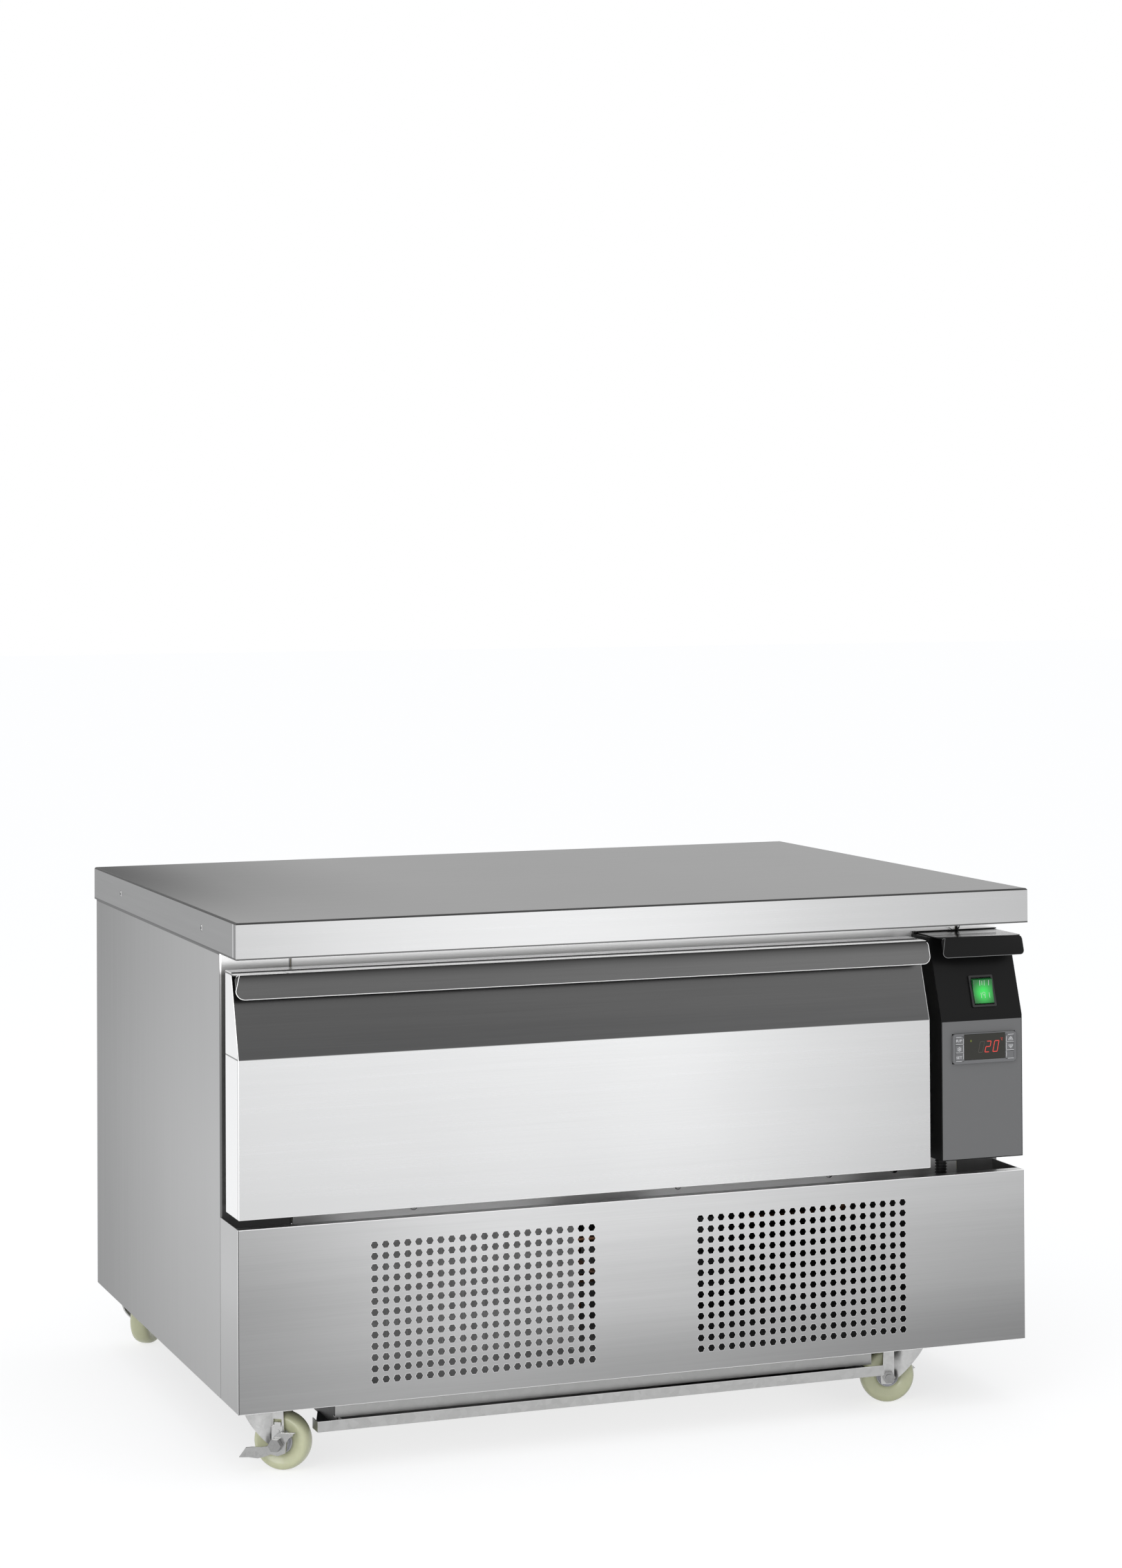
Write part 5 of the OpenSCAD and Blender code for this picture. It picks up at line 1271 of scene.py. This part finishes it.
@dataclass
class Drawer:
    """The drawer with its sloped front and handle lip."""

    lip_x: tuple[float, float] = (-449.2 * MM, 331.3 * MM)
    lip_top: float = 512.0 * MM
    hem_r: float = 0.42 * MM
    side_screw_place: tuple[float, float] = (-0.3165, 0.4803)
    rivet_z: float = 0.373
    rivet_ys: tuple[float, ...] = (-0.24, -0.10, 0.05, 0.20)

    def build(self) -> None:
        """Dresses the drawer."""
        skin = softened("drawer_front_skin", "drawer_steel", 0.7 * MM, 3)

        def choose(face: Face) -> Optional[str]:
            x, y, z = face.normal
            if abs(x) > 0.97:
                return "drawer_side"
            # Painted highlights on the bevels of the side edges and the lower edge; the slope gets its
            # painted dark tone.
            if y < -0.2 and abs(x) > 0.15:
                return "bright_steel"
            if face.center.z > CREASE_Z + 0.3 * MM and y < -0.2 and z > 0.25:
                return "slope_steel"
            return "bright_steel" if -0.97 < y < -0.2 and z < -0.2 else None

        paint(skin, choose)
        self.handle()
        coat("foam", "drawer_front_foam")
        softened("drawer_inner_frame", "white_plastic", 0.8 * MM)
        softened("drawer_gasket", "gasket_rubber", 0.8 * MM)
        for node in ("drawer_box", "pan_support_bar"):
            softened(node, "liner_steel", 0.25 * MM)
        coat("zinc", "slide_cabinet_members", "slide_intermediates", "slide_drawer_members")
        self.side_screw()
        self.slide_rivets()

    def handle(self) -> None:
        """The lip: a strip in painted shade, a hem in a painted highlight, and a top painted bright in front
        as a highlight.
        """
        low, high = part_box("drawer_handle")
        lip = Lip(*self.lip_x, low.z, self.lip_top, low.y, high.y)
        piece = lip.build("handle_lip", "lip_steel", "lip_top", "bright_steel", "drawer", self.hem_r)
        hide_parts("drawer_handle")

    def side_screw(self) -> None:
        """A domed screw in the right side of the front, under the lip."""
        _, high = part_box("drawer_front_skin")
        place = Matrix.Translation((high.x, *self.side_screw_place)) @ turned(90.0, "Y")
        head = ((0.0, -0.4), (2.9, -0.4), (2.9, 0.3), (2.3, 1.3), (1.2, 1.9), (0.0, 2.1))
        form = Form()
        form.lathe([(u * MM, v * MM) for u, v in head], place, 24)
        form.done("drawer_side_screw", "screw_steel", "drawer")

    def slide_rivets(self) -> None:
        """Rivets that hold the drawer members to the drawer box."""
        low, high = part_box("drawer_box")
        for side, x, turn in (("left", low.x, -90.0), ("right", high.x, 90.0)):
            shape = screw_shape(2.6 * MM, 0.0, turned(turn, "Y"))
            points = [(x, y, self.rivet_z) for y in self.rivet_ys]
            Repeat(f"slide_rivets_{side}", "screw_steel", "drawer").build(shape, points)


class Segment(enum.Enum):
    """The bars of a seven-segment digit."""

    TOP = "a"
    UPPER_RIGHT = "b"
    LOWER_RIGHT = "c"
    BOTTOM = "d"
    LOWER_LEFT = "e"
    UPPER_LEFT = "f"
    MIDDLE = "g"


@dataclass
class Display:
    """The lit digits behind the controller's window."""

    digit_w: float = 6.1 * MM
    digit_h: float = 12.6 * MM
    bar: float = 0.85 * MM
    gap: float = 0.12 * MM
    lean: float = 0.215
    base_z: float = 387.8 * MM
    digits: tuple[tuple[float, str, str], ...] = (
        (386.0 * MM, "abcdef", "digit_ghost"),
        (394.1 * MM, "abged", "digit_red"),
        (403.8 * MM, "abcdef", "digit_red"),
    )

    def bar_outline(self, which: Segment) -> list[tuple[float, float]]:
        """The outline of one bar, leaning as the digits do."""
        w, h, t, gap = self.digit_w, self.digit_h, self.bar, self.gap
        level = {
            Segment.TOP: (h - t, 0.6, 0.0),
            Segment.MIDDLE: ((h - t) / 2, 0.35, 0.35),
            Segment.BOTTOM: (0.0, 0.0, 0.6),
        }
        if which in level:
            v, down, up = level[which]
            a, b = gap + t * 0.35, w - gap - t * 0.35
            corners = [(a + down * t, v), (b - down * t, v), (b - up * t, v + t), (a + up * t, v + t)]
        else:
            u = 0.0 if which in (Segment.LOWER_LEFT, Segment.UPPER_LEFT) else w - t
            lower = which in (Segment.LOWER_LEFT, Segment.LOWER_RIGHT)
            v0, v1 = (gap + t * 0.5, h / 2 - gap) if lower else (h / 2 + gap, h - gap - t * 0.5)
            corners = [(u, v0), (u + t, v0), (u + t, v1), (u, v1)]
        return [(u + v * self.lean, v) for u, v in corners]

    def build(self, front: float) -> None:
        """Makes the digits, the unit mark and the running light.

        Args:
            front: the window's front surface.
        """
        depth = 0.06 * MM
        for number, (x, bars, colour) in enumerate(self.digits):
            form = Form()
            for letter in bars:
                outline = self.bar_outline(Segment(letter))
                form.prism(outline, depth, upright(x, front, self.base_z))
            form.done(f"digit_{number}", colour, "cabinet")
        form = Form()
        form.strokes([[(2.2, 2.3), (0.9, 2.3), (0.6, 0.2), (1.7, 0.2)]], 0.34, 1.0, Matrix.Identity(4))
        square = [(-0.3, 2.7), (0.1, 2.7), (0.1, 2.3), (-0.3, 2.3), (-0.3, 2.7)]
        form.strokes([square], 0.2, 1.0, Matrix.Identity(4))
        place = upright(414.6 * MM, front, 400.2 * MM) @ Matrix.Diagonal((MM, MM, depth, 1.0))
        bmesh.ops.transform(form.mesh, matrix=place, verts=form.mesh.verts)
        form.done("degree_mark", "digit_red", "cabinet")
        form = Form()
        disc = [(0.0, 0.0), (1.2 * MM, 0.0), (1.2 * MM, depth), (0.0, depth)]
        form.lathe(disc, upright(0.37765, front, 0.40124), 16)
        form.done("running_light", "dot_green", "cabinet")


@dataclass
class Keypad:
    """The white marks and outlines of the six keys."""

    line: float = 0.5 * MM
    depth: float = 0.06 * MM
    inset: float = 0.35 * MM
    corner: float = 1.6 * MM

    def build(self) -> None:
        """Marks each key; the marks move with the keys."""
        for side in SIDES:
            for row in ROWS:
                self.key(side, row)

    def outline(self, side: str, row: str, width: float, height: float) -> list[list[tuple[float, float]]]:
        """The bracket lines on one key, in the key's own width and height."""
        left = side == "left"
        near, far = (width - self.inset, 0.1 * MM) if left else (self.inset, width - 0.1 * MM)
        sign = 1.0 if left else -1.0
        low, high = self.inset * 0.8, height - self.inset * 0.8
        r = self.corner
        turns = (0.0, 0.4, 0.8, 1.2, math.pi / 2)
        arc = [(near - sign * r * (1 - math.cos(turn)), r * (1 - math.sin(turn))) for turn in turns]
        if row == "top":
            rounded = [(u, high - v) for u, v in arc]
            return [[(near, 0.0), *rounded, (far, high)], [(near, low), (far, low)]]
        if row == "middle":
            return [[(near, 0.0), (near, height)], [(near, low), (far, low)]]
        rounded = [(u, low + v) for u, v in arc]
        return [[(near, height), *rounded, (far, low)]]

    def key(self, side: str, row: str) -> None:
        """Marks one key."""
        name = f"key_{side}_{row}"
        low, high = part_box(name)
        place = upright(low.x, low.y, low.z)
        form = Form()
        form.strokes(self.outline(side, row, high.x - low.x, high.z - low.z), self.line, self.depth, place)
        mid = ((high.x - low.x) / 2, (high.z - low.z) / 2)
        if (side, row) == ("left", "top"):
            form.lettering("R/F", (0.4 * MM, 2.9 * MM), (7.6 * MM, 5.7 * MM), self.depth, place)
        elif (side, row) == ("left", "bottom"):
            form.lettering("SET", (0.4 * MM, 2.9 * MM), (7.4 * MM, 5.7 * MM), self.depth, place)
        elif (side, row) == ("left", "middle"):
            self.snowflake(form, (mid[0] - 0.6 * MM, mid[1]), place)
        elif row != "bottom":
            self.arrow(form, (mid[0] + 1.1 * MM, mid[1] - 0.2 * MM), 1.0 if row == "top" else -1.0, place)
        form.done(f"{name}_marks", "mark_white", name)

    def snowflake(self, form: Form, mid: Point, place: Matrix) -> None:
        """Six branched arms about a point of the key."""
        lines = []
        for step in range(6):
            turn = Matrix.Rotation(math.tau * step / 6 + math.pi / 2, 2)
            for line in ([(0.3, 0.0), (2.5, 0.0)], [(1.9, 0.75), (1.4, 0.0), (1.9, -0.75)]):
                lines.append([Vector(mid) + turn @ Vector(p) * MM for p in line])
        form.strokes(lines, 0.38 * MM, self.depth, place)

    def arrow(self, form: Form, mid: Point, way: float, place: Matrix) -> None:
        """A hollow triangle with a filled one in it, pointing up for way 1 and down for -1."""
        for size, width in ((1.0, 0.45 * MM), (0.36, 0.5 * MM)):
            low_v = -1.75 * size * way
            corners = [(-3.0 * size, low_v), (3.0 * size, low_v), (0.0, 1.9 * size * way)]
            path = [Vector(mid) + Vector(p) * MM for p in (*corners, corners[0])]
            form.strokes([path], width, self.depth, place)


@dataclass
class ControlColumn:
    """The black control box with its controller and switch."""

    switch_x: float = 397.5 * MM
    slope_foot_y: float = -339.7 * MM
    rise: float = 28.0 * MM
    pivot: float = 3.0 * MM
    tilt: float = 7.0
    crown: float = 6.6 * MM
    rocker_bend: float = 1.8 / 15.0
    lip_h: float = 20.7 * MM
    lip_sheet: float = 1.3 * MM
    lip_x: tuple[float, float] = (347.0 * MM, 446.0 * MM)
    lip_back_y: float = -300.0 * MM
    tuck_y: float = -326.0 * MM
    rib: float = 3.2 * MM
    seal_y: float = -266.8 * MM

    def build(self) -> None:
        """Dresses the column."""
        self.box()
        softened("control_overlay", "grey_film", 0.15 * MM)
        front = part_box("controller")[0].y
        softened("controller", "grey_plastic", 1.1 * MM, 4, lambda middle: middle.y < front + 0.3 * MM)
        softened("display_window", "window_plastic", 0.3 * MM)
        for side in SIDES:
            for row in ROWS:
                softened(f"key_{side}_{row}", "grey_plastic", 0.3 * MM)
        Display().build(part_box("display_window")[0].y)
        Keypad().build()
        softened("switch_frame", "black_plastic", 0.5 * MM)
        self.rocker()
        self.sleeve()
        self.seal_and_wires()

    def box(self) -> None:
        """The box, its own lip tucked away behind a leaning one, its folded left edges painted lighter as a
        highlight.
        """
        low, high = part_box("control_box")
        top = high.z
        left, right = self.lip_x

        def tucked(spot: Vector) -> Vector:
            if spot.z > top - self.lip_h - 0.1 * MM and spot.y < low.y + self.lip_sheet:
                return Vector((min(max(spot.x, left), right), self.tuck_y, max(spot.z, top - MM)))
            return Vector((min(spot.x, right), spot.y, spot.z))

        piece = softened("control_box", "black_paint", 0.7 * MM, 3, move=tucked)
        lip = Lip(left, right, top - self.lip_h, top + 0.05 * MM, low.y, self.lip_back_y, 5.0 * MM)
        lip.build("box_lip", "black_paint", "gloss_black", "edge_black", "cabinet", 0.3 * MM)

        def choose(face: Face) -> Optional[str]:
            x, y, z = face.normal
            # Painted highlight on the small bevels of the left folded edges; the top is gloss black.
            if -0.93 < x < -0.35 and face.area < 3e-4 and y < 0.1:
                return "edge_black"
            return "gloss_black" if z > 0.9 and face.center.z > top - 1.0 * MM else None

        paint(piece, choose)

    def rocker_plane(self, half: float) -> Matrix:
        """A plane on the rocker's upper (1) or lower (-1) face: u across, v along it, and outward."""
        lean = math.atan(SLOPE_RATE)
        z = CREASE_Z + self.rise * math.cos(lean)
        y = self.slope_foot_y + (z - CREASE_Z) * SLOPE_RATE
        slope = Matrix.Translation((self.switch_x, y, z)) @ Matrix.Rotation(math.pi / 2 - lean, 4, "X")
        rocker = slope @ Matrix.Translation((0, 0, -self.pivot)) @ turned(self.tilt, "X")
        bend = half * math.atan(self.rocker_bend)
        return rocker @ Matrix.Translation((0, 0, self.crown)) @ Matrix.Rotation(bend, 4, "X")

    def rocker(self) -> None:
        """The lit rocker with its clear chamfered rim and white marks."""
        piece = softened("switch_rocker", "green_rocker", 1.5 * MM, 1)

        def choose(face: Face) -> Optional[str]:
            return "rocker_edge" if face.area < 6e-5 and 0.25 < abs(face.normal.x) < 0.95 else None

        paint(piece, choose)
        form = Form()
        upper = [[(u, 6.3), (u, 11.8)] for u in (-4.1, 1.5, 6.8)] + [[(-1.4, 7.0), (-1.4, 11.2)]]
        lower = [[(u, -7.3), (u, -1.8)] for u in (-3.2, 6.9)] + [[(1.3, -7.4), (1.3, -4.2)]]
        turns = [math.tau * i / 12 for i in range(13)]
        lower.append([(0.3 + 1.6 * math.cos(turn), -2.6 + 1.6 * math.sin(turn)) for turn in turns])
        for lines, half in ((upper, 1.0), (lower, -1.0)):
            scaled = [[(u * MM, v * MM) for u, v in line] for line in lines]
            form.strokes(scaled, 0.42 * MM, 0.12 * MM, self.rocker_plane(half))
        form.done("rocker_marks", "mark_white", "rocker")

    def sleeve(self) -> None:
        """The corrugated sleeve between the box and the base."""
        low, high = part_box("wiring_sleeve")
        x, y, r = (low.x + high.x) / 2, (low.y + high.y) / 2, (high.x - low.x) / 2
        height = high.z - low.z
        steps = int(height / self.rib)
        rib = ((0.86, 0.05), (0.86, 0.35), (1.0, 0.5), (1.0, 0.85))
        profile = [(0.0, low.z)]
        for i in range(steps):
            z = low.z + i * height / steps
            profile += [(r * out, z + self.rib * up) for out, up in rib]
        profile.append((0.0, high.z))
        form = Form()
        form.lathe(profile, Matrix.Translation((x, y, 0.0)), 28)
        piece = form.done("corrugated_sleeve", "black_plastic", "cabinet")
        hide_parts("wiring_sleeve")

    def seal_and_wires(self) -> None:
        """The black seal behind the box's top, the sealed seam over it and the tied wires there."""
        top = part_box("control_box")[1].z
        form = Form()
        form.tube([(x, self.seal_y, top + 0.6 * MM) for x in (0.3440, 0.4485)], 0.75 * MM)
        form.slab((0.3980, self.seal_y, top), (0.4003, -0.2658, 0.5279))
        form.slab((0.3437, -0.2700, top - 3.0 * MM), (0.3480, -0.2662, top + 1.6 * MM))
        form.done("box_seal", "black_plastic", "cabinet")
        form = Form()
        for radius, path in (
            (0.45, ((403.0, -266.4, 522.5), (402.0, -268.5, 519.5), (399.0, -270.0, 516.5),
                    (396.0, -271.2, 514.8), (390.0, -272.2, 514.6), (385.0, -273.0, 514.6))),
            (0.60, ((402.5, -266.8, 517.8), (400.5, -269.2, 516.8), (398.5, -270.8, 515.0),
                    (397.5, -272.2, 514.6))),
            (0.35, ((395.5, -269.0, 514.6), (392.5, -270.0, 515.2), (388.0, -269.0, 518.0))),
        ):
            form.tube([Vector(spot) * MM for spot in path], radius * MM, 8)
        form.done("tied_wires", "black_plastic", "cabinet")


@dataclass
class CondensateTray:
    """The pull-out tray and its runners."""

    apron_x: tuple[float, float] = (-0.3435, 0.2625)
    apron_z: tuple[float, float, float] = (0.0538, 0.0548, 0.0795)
    wing_y: tuple[float, float] = (-0.3205, -0.25)

    def build(self) -> None:
        """Dresses the tray."""
        tray = softened("condensate_tray", "tray_zinc", 0.35 * MM)
        low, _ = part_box("condensate_tray")

        def choose(face: Face) -> Optional[str]:
            # Painted highlight on the upward faces of the front rim.
            if face.center.y < low.y + 0.4 * MM:
                return "rim_steel" if face.normal.y > -0.97 and face.normal.z > 0.2 else None
            # Painted shade inside the tray.
            inside = face.center.y > low.y + 12.0 * MM
            return "tray_floor" if inside and face.normal.z > -0.5 else None

        paint(tray, choose)
        rail = softened("tray_runners", "rail_zinc", 0.5 * MM)
        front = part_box("tray_runners")[0].y
        # The runners' faces behind the front are painted dark as shade.
        paint(rail, lambda face: "dark_zinc" if face.center.y > front + 3.0 * MM else None)
        (left, right), (foot, web, top) = self.apron_x, self.apron_z
        form = Form()
        form.slab((left, front - 8.0 * MM, foot), (right, front - 7.0 * MM, top))
        form.slab((left, front - 7.0 * MM, foot), (right, front + 0.2 * MM, web))
        form.done("rail_apron", "rail_zinc", "cabinet", 0.3 * MM)
        # Dark plates at both ends of the tray, under the base: painted shade.
        near, far = self.wing_y
        form = Form()
        for outline in (
            [(-0.3635, near), (-0.3402, near), (-0.3402, far), (-0.3410, far)],
            [(0.2530, near), (0.2745, near), (0.2705, -0.300), (0.2705, far), (0.2530, far)],
        ):
            form.prism(outline, 1.0 * MM, Matrix.Translation((0.0, 0.0, low.z)))
        form.done("tray_wings", "dark_zinc", "tray")


@dataclass
class Machinery:
    """What shows faintly behind the perforations, and the cold side inside."""

    coil_rows: int = 5
    evaporator_rows: int = 4
    tube_r: float = 4.5 * MM
    row_share: float = 0.27
    bend_end: float = 2.2 * MM
    bend_reach: float = 9.0 * MM
    foot_y: float = -0.050
    foot_pitch: tuple[float, float] = (0.068, 0.033)

    def build(self) -> None:
        """Dresses the machinery."""
        softened("compressor", "compressor_paint", 1.2 * MM)
        # The condenser's fins glow faintly: painted light behind the perforations.
        coat("fins_painted_glow", "condenser_coil")
        coat("fin_aluminium", "evaporator_coil")
        softened("condenser_fan_mount", "galvanised", 0.3 * MM)
        coat("black_plastic", "condenser_fan_blade", "evaporator_fan_blade")
        coat("copper_pipe", "refrigerant_pipes")
        coat("liner_steel", "evaporator_baffle")
        self.return_bends("condenser_coil", self.coil_rows, X)
        self.return_bends("evaporator_coil", self.evaporator_rows, Y)
        self.foot_rubbers()

    def return_bends(self, node: str, rows: int, along: Axis) -> None:
        """Copper bends that join the two tubes of each row.

        Args:
            node: the coil.
            rows: number of tube rows.
            along: the direction of the tubes.
        """
        low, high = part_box(node)
        run, span = along.value, 1 - along.value
        radius = (high[span] - low[span]) * (1.0 - 2.0 * self.row_share) / 2
        middle = (low[span] + high[span]) / 2
        for end, base, way in (("low", low[run], -1.0), ("high", high[run], 1.0)):
            path = []
            for step in range(9):
                turn = math.pi * step / 8
                spot = [0.0, 0.0, 0.0]
                spot[run] = way * (min(radius, self.bend_reach) * math.sin(turn) - self.bend_end)
                spot[span] = -radius * math.cos(turn)
                path.append(spot)
            form = Form()
            form.tube(path, self.tube_r)
            points = []
            for row in range(rows):
                spot = [0.0, 0.0, low.z + (row + 0.5) * (high.z - low.z) / rows]
                spot[run], spot[span] = base, middle
                points.append(spot)
            Repeat(f"{node}_bends_{end}", "copper_pipe", "cabinet").build(form.loose(), points)

    def foot_rubbers(self) -> None:
        """Soft rings under the compressor's seat."""
        low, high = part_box("compressor")
        x, (step_x, step_y) = (low.x + high.x) / 2, self.foot_pitch
        form = Form()
        r = 9.6
        ring = ((0.0, 0.2), (r, 0.2), (r, 2.5), (r * 0.96, 3.6), (r, 4.6), (r, 9.0), (0.0, 9.0))
        form.lathe([(u * MM, v * MM) for u, v in ring], Matrix.Identity(4), 20)
        points = [(x + i * step_x, self.foot_y + j * step_y, low.z) for i in (-1, 1) for j in (-1, 1)]
        Repeat("compressor_feet", "gasket_rubber", "cabinet").build(form.loose(), points)


@dataclass
class Casters:
    """Four swivel casters, the front two with side brakes."""

    corners: tuple[str, ...] = ("fl", "fr", "rl", "rr")
    hub_half: float = 11.7 * MM
    bore: float = 4.05 * MM
    head_out: float = 14.05 * MM
    head_r: float = 7.3 * MM

    def build(self) -> None:
        """Dresses the casters."""
        joints = {j["name"]: j for j in frame["joints"]}
        softened("caster_plates", "zinc", 0.4 * MM)
        for corner in self.corners:
            fork = softened(f"caster_fork_{corner}", "zinc", 0.5 * MM)
            self.darken_heads(fork, joints[f"wheel_{corner}_roll"])
            self.wheel(corner, joints[f"wheel_{corner}_roll"])
        for corner in self.corners[:2]:
            softened(f"brake_lever_{corner}", "lever_zinc", 0.35 * MM)

    def darken_heads(self, fork: bpy.types.Object, joint: dict[str, object]) -> None:
        """Gives the axle's head and nut a darker, harder metal than the pressed fork."""
        axis, middle = Vector(joint["axis"]), Vector(joint["pos_m"])

        def choose(face: Face) -> Optional[str]:
            away = face.center - middle
            along = away.dot(axis)
            near = (away - along * axis).length < self.head_r
            return "dark_bolt" if near and abs(along) > self.head_out else None

        paint(fork, choose)

    def wheel(self, corner: str, joint: dict[str, object]) -> None:
        """A glossy rounded tyre on a ribbed grey hub, each turned from half its section."""
        turn = Vector((0, 0, 1)).rotation_difference(Vector(joint["axis"]))
        place = Matrix.Translation(joint["pos_m"]) @ turn.to_matrix().to_4x4()
        side = ((12.6, 6.8), (13.6, 8.0), (15.5, 8.9), (18.0, 9.6), (21.0, 10.5), (23.6, 11.0), (25.6, 10.7),
                (27.2, 9.8), (28.4, 8.3), (29.3, 6.2), (29.8, 3.6), (30.0, 0.0))
        side = [(u * MM, v * MM) for u, v in side]
        loop = side + [(u, -v) for u, v in reversed(side[:-1])]
        form = Form()
        form.lathe([*loop, loop[0]], place, 72)
        tyre = form.done(f"tyre_{corner}", "nylon_wheel", f"wheel_{corner}")
        face = ((12.7, 6.4), (12.0, 7.6), (11.4, 7.8), (10.9, 6.2), (8.9, 6.0), (8.2, 11.2), (7.4, 11.7))
        face = [*((u * MM, v * MM) for u, v in face), (self.bore, self.hub_half)]
        loop = face + [(u, -v) for u, v in reversed(face)]
        form = Form()
        form.lathe([*loop, loop[0]], place, 48)
        form.done(f"hub_{corner}", "hub_grey", f"wheel_{corner}")
        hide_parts(f"caster_wheel_{corner}")


def main() -> None:
    """Builds the whole scene."""
    logging.basicConfig(level=logging.INFO, format="%(message)s")
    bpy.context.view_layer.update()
    Studio().build()
    for part in (Worktop, Cabinet, LowerFront, Drawer, ControlColumn, CondensateTray, Machinery, Casters):
        part().build()


if __name__ == "__main__":
    main()
